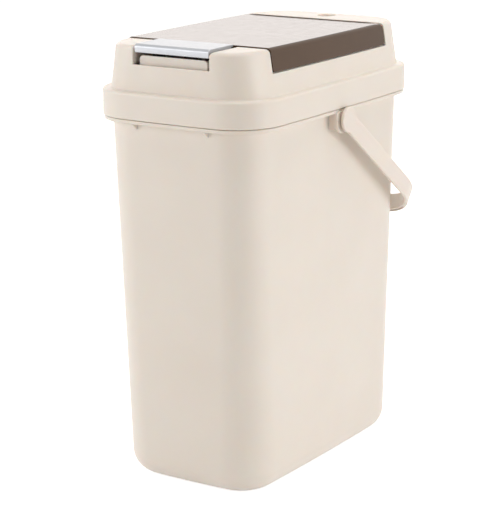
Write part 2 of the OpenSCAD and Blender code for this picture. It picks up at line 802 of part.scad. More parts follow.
module lid_spring_left() color(steel) mirror([1, 0, 0]) lid_spring();

// A cross-head screw pointing up, from the underside of what it clamps
module screw() {
    difference() {
        union() {
            translate([0, 0, -screw_head_h]) cylinder(r = screw_head_r, h = screw_head_h, $fn = 32);
            translate([0, 0, -eps]) cylinder(r = screw_dia / 2, h = screw_l + eps, $fn = 32);
        }
        for (a = [0, 90]) rotate([0, 0, a])
            block([-screw_head_r * 0.6, -0.35, -screw_head_h - 1],
                  [screw_head_r * 0.6, 0.35, -screw_head_h / 2]);
    }
}

module bracket_screws() color(steel) {
    both_sides() translate([bracket_screw_x, bracket_screw_y, trough_z - bracket_t]) screw();
}

module housing_screws() color(steel) {
    both_sides() translate([housing_screw_x, housing_screw_y, housing_z]) screw();
}

module housing_outline(inset) {
    half = housing_w / 2 - inset;
    r = housing_r - inset / 2;
    polygon(concat([[-half, housing_z], [half, housing_z]],
                   arc(half - r, housing_top - r, r, 0, 90),
                   arc(-half + r, housing_top - r, r, 90, 180)));
}

// The open box below the button that carries the latch
module latch_housing() color(cream) {
    difference() {
        union() {
            slab_y(housing_front, housing_rear) housing_outline(0);
            both_sides() {
                block([housing_w / 2 - 1, housing_screw_y - boss_r, housing_z],
                      [housing_screw_x, housing_screw_y + boss_r, housing_z + tab_t]);
                translate([housing_screw_x, housing_screw_y, housing_z])
                    cylinder(r = boss_r, h = tab_t, $fn = 48);
            }
        }
        difference() {
            block([-housing_w / 2 + housing_wall, housing_front + housing_wall, housing_z + housing_wall],
                  [housing_w / 2 - housing_wall, housing_rear - housing_wall, far]);
            translate([0, spring_y, 0])
                cylinder(r = latch_peg_r, h = housing_z + housing_wall + peg_h, $fn = 32);
        }
        block([-hook_w / 2 - 3, housing_rear - housing_wall - 1, hook_z - 8], [hook_w / 2 + 3, far, far]);
        rod_x(-far, far, pin_y, pin_z, latch_pin_dia / 2 + 0.02);
        rod_x(-lever_half - 0.6, lever_half + 0.6, pin_y, pin_z, lever_hub_r + 0.4);
        both_sides() translate([housing_screw_x, housing_screw_y, 0])
            cylinder(r = screw_hole_r, h = far, $fn = 32);
    }
}

module latch_pin() color(steel) rod_x(-pin_half, pin_half, pin_y, pin_z, latch_pin_dia / 2);

// The rocker: a hub on the pin, ribs up to the button's plate, a pad on the spring and the hook
module latch_lever() color(grey) {
    plate_low = plate_top - plate_t;
    difference() {
        union() {
            rod_x(-lever_half, lever_half, pin_y, pin_z, lever_hub_r);
            block([-lever_half, lever_front, plate_low], [lever_half, pin_y + 5, plate_top]);
            both_sides() slab_x(rib_x, rib_x + rib_t)
                polygon([[pin_y + lever_hub_r - 0.2, pin_z], [pin_y + 2, plate_low + eps],
                         [lever_front + 6, plate_low + eps], [pin_y - lever_hub_r + 0.2, pin_z]]);
            block([-rib_x - eps, spring_y - 5, pad_z], [rib_x + eps, spring_y + 8, pad_z + 2]);
            translate([0, spring_y, pad_z - peg_h]) cylinder(r = latch_peg_r, h = peg_h + eps, $fn = 32);
            slab_x(-hook_w / 2, hook_w / 2)
                polygon([[hook_arm_y - hook_t, pin_z], [hook_arm_y, pin_z], [hook_arm_y, hook_z],
                         [hook_tip, hook_z], [hook_tip, hook_z + 0.8], [hook_arm_y, hook_z + hook_h],
                         [hook_arm_y - hook_t, hook_z + hook_h]]);
        }
        rod_x(-far, far, pin_y, pin_z, latch_pin_dia / 2 + latch_play);
        button_pegs(button_peg_r + 0.05, plate_low - 1);
    }
}

module button_pegs(r, low) {
    both_sides() translate([button_peg_x, (button_front + pin_y) / 2, low])
        cylinder(r = r, h = plate_top + eps - low, $fn = 32);
}

// A return spring, closed at both ends, between the housing's floor and the lever's pad
module latch_spring() color(steel) {
    low = housing_z + housing_wall + latch_wire / 2 + 0.05;
    high = pad_z - latch_wire / 2 - 0.05;
    share = 1 / latch_turns;
    translate([0, spring_y, 0])
        wire_coil(latch_peg_r + 0.4 + latch_wire / 2, latch_wire, 0, latch_turns, 0, 0,
                  [[0, low], [share, low + latch_wire], [1 - share, high - latch_wire], [1, high]]);
}

// The button as seen from its side: a top that rounds over into its front face
module button_outline(inset) {
    front = button_front + inset;
    top = button_top - inset;
    r = button_r - inset / 2;
    low = button_top - button_face - (inset > 0 ? 1 : 0);
    polygon(concat([[button_rear + (inset > 0 ? 1 : 0), top]], arc(front + r, top - r, r, 90, 180),
                   [[front, low], [button_rear + (inset > 0 ? 1 : 0), low]]));
}

module push_button() color(silver) {
    half = button_w / 2;
    difference() {
        slab_x(-half, half) button_outline(0);
        slab_x(-half + button_t, half - button_t) button_outline(button_t);
        block([-far, slot_front - cover_wall - 1, 0], [far, far, plate_top]);
    }
    button_pegs(button_peg_r, plate_top - plate_t - 0.5);
}

bucket();
bail_handle();
hood_cover();
deck_frame();
lid_panel();
lid_liner();
lid_bumpers();
hinge_bracket();
hinge_rod();
rod_clips();
lid_spring_left();
lid_spring_right();
bracket_screws();
latch_housing();
housing_screws();
latch_lever();
latch_pin();
latch_spring();
push_button();
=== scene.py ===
"""Looks of a push top countertop bin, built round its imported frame.

The bin is a tapered bucket with a bail handle and a lift-off cover. The cover has a skirt, a
narrower hood, a brown lid that wraps down both sides of the hood, and a silver push button in a
notch. Sizes are in millimetres, as in the frame's source, and become metres where a mesh is placed.
"""

from __future__ import annotations

import logging
import math
from bisect import bisect_right
from dataclasses import dataclass, field
from enum import Enum
from typing import Callable, ClassVar, Iterable, Sequence

import bmesh
import bpy
from mathutils import Matrix, Vector

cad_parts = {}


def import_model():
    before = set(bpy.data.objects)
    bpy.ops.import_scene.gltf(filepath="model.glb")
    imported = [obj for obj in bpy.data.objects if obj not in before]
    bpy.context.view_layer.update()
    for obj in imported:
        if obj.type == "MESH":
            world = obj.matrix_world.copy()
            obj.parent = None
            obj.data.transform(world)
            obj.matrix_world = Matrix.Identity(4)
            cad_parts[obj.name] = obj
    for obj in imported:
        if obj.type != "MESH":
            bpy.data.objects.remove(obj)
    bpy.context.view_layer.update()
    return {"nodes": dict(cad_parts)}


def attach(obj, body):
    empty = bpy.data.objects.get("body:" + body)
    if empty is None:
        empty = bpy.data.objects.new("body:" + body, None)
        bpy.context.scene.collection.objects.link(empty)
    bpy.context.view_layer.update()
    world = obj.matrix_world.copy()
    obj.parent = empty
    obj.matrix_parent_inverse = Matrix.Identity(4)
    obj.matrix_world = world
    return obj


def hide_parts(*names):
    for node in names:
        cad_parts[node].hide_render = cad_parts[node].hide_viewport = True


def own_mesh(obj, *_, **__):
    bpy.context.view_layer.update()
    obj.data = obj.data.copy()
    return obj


log = logging.getLogger("bin")

MM = 0.001
FAR = 400.0  # millimetres, further than any part of the bin
TINY = 1e-6  # metres, within which two places are the same
SQUARE = 0.999  # how far a normal runs along an axis where its face is square to it

Ring = list[Vector]
Pair = tuple[float, float]
Colour = tuple[float, float, float]
Obj = bpy.types.Object
Socket = bpy.types.NodeSocket
Inputs = dict[str | int, object]


class Slot(Enum):
    """The record's material slots."""

    CREAM = "cream_plastic"
    BROWN = "brown_plastic"
    SILVER = "silver_plastic"
    GREY = "grey_plastic"
    STEEL = "steel"
    RUBBER = "rubber"


class Body(Enum):
    """The bodies that pieces ride on."""

    BUCKET = "bucket_body"
    BAIL = "bail"
    COVER = "cover"
    LID = "lid"
    LATCH = "latch"


class Cut(Enum):
    """What a second form does to a first one."""

    KEEP_SHARED = "INTERSECT"
    TAKE_AWAY = "DIFFERENCE"
    ADD = "UNION"


# --------------------------------------------------------------------------- modelling bench


class Bench:
    """Short calls on Blender's own modelling operators."""

    @staticmethod
    def clear() -> None:
        """Leaves edit mode and deselects everything."""
        active = bpy.context.view_layer.objects.active
        if active is not None and active.mode != "OBJECT":
            bpy.ops.object.mode_set(mode="OBJECT")
        bpy.ops.object.select_all(action="DESELECT")

    @staticmethod
    def take(obj: Obj) -> None:
        """Makes one object the only selected one and the active one."""
        Bench.clear()
        obj.select_set(True)
        bpy.context.view_layer.objects.active = obj

    @staticmethod
    def edit(obj: Obj, kind: str = "FACE") -> bmesh.types.BMesh:
        """Opens an object in edit mode with nothing selected.

        Args:
            obj: The object to edit.
            kind: What is selected afterwards: VERT, EDGE or FACE.

        Returns:
            The mesh as it is being edited.
        """
        Bench.take(obj)
        bpy.ops.object.mode_set(mode="EDIT")
        bpy.ops.mesh.select_mode(type=kind)
        bpy.ops.mesh.select_all(action="DESELECT")
        return bmesh.from_edit_mesh(obj.data)

    @staticmethod
    def pick(obj: Obj, kind: str, wanted: Callable[[object], bool]) -> None:
        """Opens an object in edit mode and selects what passes a test.

        Args:
            obj: The object to edit.
            kind: What is selected: EDGE or FACE.
            wanted: The test of one edge or face.
        """
        mesh = Bench.edit(obj, kind)
        parts = mesh.faces if kind == "FACE" else mesh.edges
        for part in [part for part in parts if wanted(part)]:
            part.select_set(True)
        bmesh.update_edit_mesh(obj.data)

    @staticmethod
    def modify(obj: Obj, kind: str, **settings: object) -> None:
        """Adds one modifier with its settings and applies it."""
        Bench.take(obj)
        modifier = obj.modifiers.new(kind.title(), kind)
        for key, value in settings.items():
            setattr(modifier, key, value)
        bpy.ops.object.modifier_apply(modifier=modifier.name)

    @staticmethod
    def combine(obj: Obj, tool: Obj, how: Cut) -> None:
        """Cuts, joins or meets one closed form with another, which is used up."""
        Bench.modify(obj, "BOOLEAN", operation=how.value, object=tool, solver="EXACT")
        bpy.data.objects.remove(tool)

    @staticmethod
    def join(obj: Obj, others: Iterable[Obj]) -> None:
        """Makes several meshes one object."""
        Bench.clear()
        for other in others:
            other.select_set(True)
        obj.select_set(True)
        bpy.context.view_layer.objects.active = obj
        bpy.ops.object.join()

    @staticmethod
    def outwards(obj: Obj, merge: float = 0.002) -> None:
        """Merges doubled points and turns all faces outwards.

        Args:
            obj: The object to mend.
            merge: Distance in millimetres under which points become one.
        """
        Bench.edit(obj, "VERT")
        bpy.ops.mesh.select_all(action="SELECT")
        bpy.ops.mesh.remove_doubles(threshold=merge * MM)
        bpy.ops.mesh.normals_make_consistent(inside=False)
        bpy.ops.object.mode_set(mode="OBJECT")

    @staticmethod
    def round_edges(obj: Obj, width: float, steps: int = 3, above: float = 38.0) -> None:
        """Rounds every edge that is sharper than an angle.

        Args:
            obj: The object to round.
            width: Width of the rounding in millimetres.
            steps: Faces across the rounding.
            above: Angle in degrees above which an edge is rounded.
        """
        Bench.modify(obj, "BEVEL", width=width * MM, segments=steps, limit_method="ANGLE",
                     angle_limit=math.radians(above), use_clamp_overlap=False,
                     miter_outer="MITER_ARC")

    @staticmethod
    def smooth(obj: Obj, angle: float) -> None:
        """Shades smooth below an angle and lets the large faces lead the shading."""
        Bench.take(obj)
        bpy.ops.object.shade_smooth_by_angle(angle=math.radians(angle))
        Bench.modify(obj, "WEIGHTED_NORMAL", keep_sharp=True, weight=80)

    @staticmethod
    def place(name: str, data: bpy.types.ID) -> Obj:
        """Adds an object with given data to the scene."""
        obj = bpy.data.objects.new(name, data)
        bpy.context.scene.collection.objects.link(obj)
        return obj

    @staticmethod
    def box(name: str, low: Sequence[float], high: Sequence[float]) -> Obj:
        """Adds a block between two corners, given in millimetres."""
        Bench.clear()
        middle = [(a + b) / 2 * MM for a, b in zip(low, high)]
        bpy.ops.mesh.primitive_cube_add(size=1, location=middle)
        obj = bpy.context.object
        obj.name = name
        obj.scale = [(b - a) * MM for a, b in zip(low, high)]
        Bench.settle(obj)
        return obj

    @staticmethod
    def rod(name: str, start: Sequence[float], end: Sequence[float], radius: float,
            sides: int = 48) -> Obj:
        """Adds a cylinder between two points, given in millimetres."""
        Bench.clear()
        a, b = Vector(start), Vector(end)
        turn = (b - a).to_track_quat("Z", "Y").to_euler()
        bpy.ops.mesh.primitive_cylinder_add(vertices=sides, radius=radius * MM,
                                            depth=(b - a).length * MM,
                                            location=(a + b) / 2 * MM, rotation=turn)
        obj = bpy.context.object
        obj.name = name
        Bench.settle(obj)
        return obj

    @staticmethod
    def bar(obj: Obj, how: Cut, start: Sequence[float], end: Sequence[float], radius: float,
            sides: int) -> None:
        """Adds a round bar to a closed form, or bores one out of it."""
        Bench.combine(obj, Bench.rod("bar", start, end, radius, sides), how)

    @staticmethod
    def settle(obj: Obj) -> None:
        """Puts an object's place, turn and size into its mesh."""
        Bench.take(obj)
        bpy.ops.object.transform_apply(location=True, rotation=True, scale=True)


class Skin:
    """A skin drawn out from a first ring to the next ones, as by extruding a circle's edge."""

    def __init__(self, name: str, first: Ring, closed_start: bool = True) -> None:
        """Adds a circle and moves its points to the first ring.

        Args:
            name: Name of the new object.
            first: Points of the first ring in millimetres.
            closed_start: Whether the first ring carries a face.
        """
        Bench.clear()
        fill = "NGON" if closed_start else "NOTHING"
        bpy.ops.mesh.primitive_circle_add(vertices=len(first), radius=1, fill_type=fill)
        self.obj: Obj = bpy.context.object
        self.obj.name = name
        mesh = Bench.edit(self.obj, "EDGE")
        mesh.verts.ensure_lookup_table()
        self.last: list[int] = list(range(len(first)))
        self._place(mesh, first)

    def _place(self, mesh: bmesh.types.BMesh, ring: Ring) -> None:
        """Moves the points of the last ring to new places."""
        for index, point in zip(self.last, ring):
            mesh.verts[index].co = point * MM
        bmesh.update_edit_mesh(self.obj.data)

    def draw_out(self, ring: Ring) -> Skin:
        """Extrudes the last ring's edges and moves the new points to a ring."""
        mesh = bmesh.from_edit_mesh(self.obj.data)
        bpy.ops.mesh.select_all(action="DESELECT")
        mesh.verts.ensure_lookup_table()
        count = len(self.last)
        for k in range(count):
            a, b = mesh.verts[self.last[k]], mesh.verts[self.last[(k + 1) % count]]
            mesh.edges.get((a, b)).select_set(True)
        bmesh.update_edit_mesh(self.obj.data)
        bpy.ops.mesh.extrude_edges_indiv()
        mesh = bmesh.from_edit_mesh(self.obj.data)
        mesh.verts.ensure_lookup_table()
        mesh.verts.index_update()
        old = set(self.last)
        drawn = []
        for index in self.last:
            vert = mesh.verts[index]
            ends = (edge.other_vert(vert) for edge in vert.link_edges)
            drawn.append(next(end.index for end in ends if end.select and end.index not in old))
        self.last = drawn
        self._place(mesh, ring)
        return self

    def draw_all(self, rings: Iterable[Ring]) -> Skin:
        """Draws the skin out through a row of rings."""
        for ring in rings:
            self.draw_out(ring)
        return self

    def done(self, closed_end: bool = True) -> Obj:
        """Closes the last ring with a face if asked, and returns the object, faces outwards."""
        mesh = bmesh.from_edit_mesh(self.obj.data)
        if closed_end:
            bpy.ops.mesh.select_all(action="DESELECT")
            mesh.verts.ensure_lookup_table()
            for index in self.last:
                mesh.verts[index].select_set(True)
            mesh.select_flush(True)
            bmesh.update_edit_mesh(self.obj.data)
            bpy.ops.mesh.edge_face_add()
        Bench.outwards(self.obj)
        return self.obj


# --------------------------------------------------------------------------- outlines


@dataclass(frozen=True)
class Marks:
    """Where all rings of a skin keep a point, so that edges and cut-outs run true."""

    side_front: float = -94.7
    side_rear: float = 93.4
    front_half: float = 38.5
    rear_half: float = 38.5
    corner_stops: int = 22
    side_stops: int = 14
    end_stops: int = 12


@dataclass(frozen=True)
class Plan:
    """A rounded rectangle seen from above, whose four sides bow out in their middles."""

    width: float
    depth: float
    radius: float
    bow: float = 2.0

    def inset(self, by: float) -> Plan:
        """Returns the same outline drawn in all round."""
        return Plan(self.width - 2 * by, self.depth - 2 * by, self.radius - by, self.bow)

    def walk(self, fine: int = 24) -> list[Pair]:
        """Returns close points along the outline, counter-clockwise."""
        half_w, half_d, r = self.width / 2, self.depth / 2, self.radius
        centres = [(half_w - r, half_d - r), (r - half_w, half_d - r), (r - half_w, r - half_d),
                   (half_w - r, r - half_d)]
        raw: list[Pair] = []
        for k, (cx, cy) in enumerate(centres):
            for i in range(fine + 1):
                a = math.radians(90 * (k + i / fine))
                raw.append((cx + r * math.cos(a), cy + r * math.sin(a)))
            nx, ny = centres[(k + 1) % 4]
            a = math.radians(90 * (k + 1))
            ex, ey = nx + r * math.cos(a), ny + r * math.sin(a)
            sx, sy = raw[-1]
            raw += [(sx + (ex - sx) * i / fine, sy + (ey - sy) * i / fine) for i in range(1, fine)]
        return [(x * (1 - self.bow / half_w * (y / half_d) ** 2),
                 y * (1 - self.bow / half_d * (x / half_w) ** 2)) for x, y in raw]

    def ring(self, z: float, marks: Marks = Marks()) -> Ring:
        """Returns the ring's points at a height, with points kept at the marks.

        Args:
            z: Height of the ring.
            marks: Where points are kept, and how many lie between.

        Returns:
            The ring's points in millimetres, counter-clockwise from the rear of the right side.
        """
        path = self.walk()
        path.append(path[0])
        run = [0.0]
        for (ax, ay), (bx, by) in zip(path, path[1:]):
            run.append(run[-1] + math.hypot(bx - ax, by - ay))

        def crossing(axis: int, value: float, side: int) -> float:
            """Returns the way along the path to where it crosses a mark on one side."""
            for k, (a, b) in enumerate(zip(path, path[1:])):
                across = (a[axis] - value) * (b[axis] - value) <= 0 and a[axis] != b[axis]
                if across and a[1 - axis] * side > 0:
                    return run[k] + (run[k + 1] - run[k]) * (value - a[axis]) / (b[axis] - a[axis])
            raise ValueError(f"the outline {self} never meets {value}")

        rear, front = marks.side_rear, marks.side_front
        half, front_half = marks.rear_half, marks.front_half
        spots = ((1, rear, 1), (0, half, 1), (0, -half, 1), (1, rear, -1),
                 (1, front, -1), (0, -front_half, -1), (0, front_half, -1), (1, front, 1))
        stops = [crossing(*spot) for spot in spots]
        counts = [marks.corner_stops, marks.end_stops, marks.corner_stops, marks.side_stops] * 2
        points: Ring = []
        for k, count in enumerate(counts):
            span = (stops[(k + 1) % 8] - stops[k]) % run[-1]
            for i in range(count):
                way = (stops[k] + span * i / count) % run[-1]
                j = min(bisect_right(run, way) - 1, len(path) - 2)
                t = (way - run[j]) / (run[j + 1] - run[j])
                (ax, ay), (bx, by) = path[j], path[j + 1]
                points.append(Vector((ax + (bx - ax) * t, ay + (by - ay) * t, z)))
        return points


def arc(centre_y: float, centre_z: float, radius: float, start: float, end: float,
        steps: int = 10) -> list[Pair]:
    """Returns the points of an arc in a side view, with its angles in degrees."""
    angles = [math.radians(start + (end - start) * i / steps) for i in range(steps + 1)]
    return [(centre_y + radius * math.cos(a), centre_z + radius * math.sin(a)) for a in angles]


def quarter(radius: float, steps: int) -> list[Pair]:
    """Returns how far the points of a quarter round lie from its end and from its start."""
    turns = [math.radians(90 * k / steps) for k in range(steps + 1)]
    return [(radius * (1 - math.cos(a)), radius * (1 - math.sin(a))) for a in turns]


def side_prism(name: str, outline: Sequence[Pair], half: float) -> Obj:
    """Adds a closed prism along X whose side view is an outline of (y, z) points."""
    rings = [[Vector((x, y, z)) for y, z in outline] for x in (-half, half)]
    return Skin(name, rings[0]).draw_out(rings[1]).done()


def circle(axis: Pair, radius: float, x: float, count: int, first: float = 0.0) -> Ring:
    """Returns a circle about an axis along X.

    Args:
        axis: The axis's y and z.
        radius: The circle's radius.
        x: Where it lies along the axis.
        count: Its number of points.
        first: Angle of its first point in degrees.

    Returns:
        The circle's points.
    """
    turns = [math.radians(first) + 2 * math.pi * k / count for k in range(count)]
    return [Vector((x, axis[0] + radius * math.cos(a), axis[1] + radius * math.sin(a)))
            for a in turns]


def turned(name: str, axis: Pair, profile: Sequence[Pair], count: int, first: float = 0.0,
           solid: bool = True) -> Obj:
    """Adds a form turned about an axis along X.

    Args:
        name: Name of the new object.
        axis: The axis's y and z.
        profile: Radius and x of each circle; a tube's last one is its first one again.
        count: Points of each circle.
        first: Angle of each circle's first point in degrees.
        solid: Whether faces close its ends.

    Returns:
        The form.
    """
    rings = [circle(axis, radius, x, count, first) for radius, x in profile]
    return Skin(name, rings[0], closed_start=solid).draw_all(rings[1:]).done(closed_end=solid)


# --------------------------------------------------------------------------- finishes


class Nodes:
    """A node tree, with short calls to add nodes and to fill their inputs."""

    def __init__(self, owner: bpy.types.Material | bpy.types.World) -> None:
        """Takes up the tree of a material or a world."""
        owner.use_nodes = True
        self.tree = owner.node_tree

    def add(self, kind: str, inputs: Inputs | None = None, **settings: object) -> bpy.types.Node:
        """Adds a node, sets its properties and fills its inputs.

        Args:
            kind: The node's type, without the words that every type starts with.
            inputs: The value or the output that goes to each input.
            settings: The node's properties.

        Returns:
            The node.
        """
        node = self.tree.nodes.new("ShaderNode" + kind)
        for key, value in settings.items():
            setattr(node, key, value)
        self.fill(node, inputs or {})
        return node

    def fill(self, node: bpy.types.Node, inputs: Inputs) -> None:
        """Sets a node's inputs, or links them where an output is given."""
        for key, value in inputs.items():
            if isinstance(value, Socket):
                self.tree.links.new(value, node.inputs[key])
            else:
                node.inputs[key].default_value = value


class Surface(Nodes):
    """A new material's node tree, with patterns on the object's own coordinates."""

    def __init__(self, name: str) -> None:
        """Starts a material with its shader and an object-space position."""
        self.material = bpy.data.materials.new(name)
        super().__init__(self.material)
        self.shader = self.tree.nodes["Principled BSDF"]
        self.place = self.add("TexCoord").outputs["Object"]

    def noise(self, size: float, detail: float = 2.0, roughness: float = 0.5,
              stretch: Colour = (1.0, 1.0, 1.0)) -> Socket:
        """Returns a noise whose features are about a size in millimetres.

        Args:
            size: Size of the features in millimetres.
            detail: Octaves of finer features.
            roughness: Share of the finer features.
            stretch: How much finer the pattern is along each axis.

        Returns:
            The noise's value.
        """
        mapping = self.add("Mapping", {"Vector": self.place, "Scale": stretch})
        inputs = {"Vector": mapping.outputs["Vector"], "Scale": 1.0 / (size * MM), "Detail": detail,
                  "Roughness": roughness}
        return self.add("TexNoise", inputs).outputs["Fac"]

    def spread(self, value: Socket, low: float, high: float,
               start: float = 0.3, end: float = 0.7) -> Socket:
        """Maps a value from one range to another."""
        inputs = {"Value": value, "From Min": start, "From Max": end, "To Min": low, "To Max": high}
        return self.add("MapRange", inputs).outputs["Result"]

    def blend(self, factor: Socket, first: Colour, second: Colour) -> Socket:
        """Mixes two colours by a value."""
        inputs = {0: factor, 6: (*first, 1.0), 7: (*second, 1.0)}
        return self.add("Mix", inputs, data_type="RGBA").outputs[2]

    def relief(self, height: Socket, depth: float, strength: float,
               under: Socket | None = None) -> Socket:
        """Turns a value into relief whose depth is in millimetres."""
        node = self.add("Bump", {"Height": height, "Distance": depth * MM, "Strength": strength})
        if under is not None:
            self.fill(node, {"Normal": under})
        return node.outputs["Normal"]


@dataclass(frozen=True)
class MouldedPlastic:
    """Injection-moulded plastic with faint flow clouds, an eroded grain and a soft gloss."""

    name: str
    colour: Colour
    cloud_colour: Colour
    cloud: float = 70.0
    rub_share: float = 6.0
    gloss: Pair = (0.36, 0.46)
    grain: float = 1.1
    grain_depth: float = 0.05
    grain_strength: float = 0.12
    wave: float = 45.0
    wave_depth: float = 0.12
    wave_strength: float = 0.6
    edge: float = 0.35
    edge_samples: int = 6
    specular: float = 0.5
    glow: float = 0.0
    glow_depth: float = 3.0
    glow_reach: Colour = (1.0, 0.55, 0.35)
    metallic: float = 0.0

    def build(self) -> bpy.types.Material:
        """Builds the material."""
        nodes = Surface(self.name)
        clouds = nodes.spread(nodes.noise(self.cloud, detail=3.0), 0.0, 1.0)
        rub = nodes.noise(self.cloud / self.rub_share, detail=4.0, roughness=0.6)
        soft = nodes.add("Bevel", {"Radius": self.edge * MM}, samples=self.edge_samples)
        waves = nodes.relief(nodes.noise(self.wave, detail=1.0), self.wave_depth,
                             self.wave_strength, soft.outputs["Normal"])
        grain = nodes.relief(nodes.noise(self.grain), self.grain_depth, self.grain_strength, waves)
        nodes.fill(nodes.shader, {
            "Base Color": nodes.blend(clouds, self.colour, self.cloud_colour),
            "Roughness": nodes.spread(rub, *self.gloss),
            "Normal": grain, "Specular IOR Level": self.specular, "Subsurface Weight": self.glow,
            "Subsurface Radius": self.glow_reach, "Subsurface Scale": self.glow_depth * MM,
            "Metallic": self.metallic})
        return nodes.material


@dataclass(frozen=True)
class DrawnSteel:
    """Bright steel wire and rod, with fine drawing lines along it."""

    name: str
    colour: Colour
    dull_colour: Colour
    line: float = 0.25
    line_depth: float = 0.01
    line_strength: float = 0.3
    patch: float = 10.0
    gloss: Pair = (0.22, 0.38)

    def build(self) -> bpy.types.Material:
        """Builds the material."""
        nodes = Surface(self.name)
        lines = nodes.noise(self.line, stretch=(0.05, 1.0, 1.0))
        patches = nodes.spread(nodes.noise(self.patch, detail=3.0), 0.0, 1.0)
        nodes.fill(nodes.shader, {
            "Base Color": nodes.blend(patches, self.colour, self.dull_colour),
            "Roughness": nodes.spread(lines, *self.gloss),
            "Normal": nodes.relief(lines, self.line_depth, self.line_strength), "Metallic": 1.0})
        return nodes.material


@dataclass(frozen=True)
class Rubber:
    """Dark matt rubber with a powdery surface."""

    name: str
    colour: Colour
    bloom_colour: Colour
    bloom: float = 2.5
    gloss: Pair = (0.7, 0.85)
    grain: float = 0.5
    grain_depth: float = 0.03
    grain_strength: float = 0.4

    def build(self) -> bpy.types.Material:
        """Builds the material."""
        nodes = Surface(self.name)
        bloom = nodes.spread(nodes.noise(self.bloom, detail=4.0), 0.0, 1.0)
        nodes.fill(nodes.shader, {
            "Base Color": nodes.blend(bloom, self.colour, self.bloom_colour),
            "Roughness": nodes.spread(bloom, *self.gloss, 0.0, 1.0),
            "Normal": nodes.relief(nodes.noise(self.grain), self.grain_depth, self.grain_strength)})
        return nodes.material


FINISHES: dict[Slot, MouldedPlastic | DrawnSteel | Rubber] = {
    Slot.CREAM: MouldedPlastic("cream_plastic", (0.812, 0.738, 0.664), (0.793, 0.714, 0.636),
                               glow=0.4),
    Slot.BROWN: MouldedPlastic("brown_plastic", (0.092, 0.050, 0.026), (0.082, 0.045, 0.024),
                               cloud=50.0, gloss=(0.20, 0.225), grain=0.9, grain_depth=0.004,
                               grain_strength=0.04, wave=120.0, wave_depth=0.9, specular=0.32),
    Slot.SILVER: MouldedPlastic("silver_plastic", (0.46, 0.47, 0.495), (0.49, 0.50, 0.52),
                                cloud=20.0, gloss=(0.32, 0.40), grain=0.5, grain_depth=0.01,
                                grain_strength=0.08, wave=25.0, wave_depth=0.03, metallic=0.4),
    Slot.GREY: MouldedPlastic("grey_plastic", (0.075, 0.073, 0.070), (0.095, 0.092, 0.088),
                              cloud=25.0, gloss=(0.42, 0.55), grain=0.9, grain_depth=0.04,
                              grain_strength=0.15),
    Slot.STEEL: DrawnSteel("steel", (0.58, 0.58, 0.59), (0.46, 0.455, 0.45)),
    Slot.RUBBER: Rubber("rubber", (0.035, 0.034, 0.033), (0.060, 0.058, 0.056)),
}


class Finishes:
    """Makes each finish once and gives it to pieces."""

    def __init__(self) -> None:
        """Starts with no material made."""
        self._made: dict[Slot, bpy.types.Material] = {}

    def material(self, slot: Slot) -> bpy.types.Material:
        """Returns the material of a slot."""
        if slot not in self._made:
            self._made[slot] = FINISHES[slot].build()
        return self._made[slot]

    def dress(self, obj: Obj, slot: Slot) -> None:
        """Gives an object one material all over."""
        obj.data.materials.clear()
        obj.data.materials.append(self.material(slot))


class Piece:
    """A piece with a mesh of its own, which stands for one of the frame's nodes."""

    slot: ClassVar[Slot] = Slot.CREAM
    body: ClassVar[Body]
    node: ClassVar[str]
    crease: ClassVar[float] = 32.0

    def shape(self) -> Obj:
        """Models the piece."""
        raise NotImplementedError

    def build(self, finishes: Finishes) -> Obj:
        """Models the piece, dresses it and ties it to the frame.

        Args:
            finishes: The finishes.

        Returns:
            The piece.
        """
        obj = self.shape()
        Bench.smooth(obj, self.crease)
        Bench.clear()
        finishes.dress(obj, self.slot)
        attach(obj, self.body.value)
        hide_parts(self.node)
        log.info("%s: %d faces, rides on %s", obj.name, len(obj.data.polygons), self.body.value)
        return obj


# --------------------------------------------------------------------------- sub-assemblies


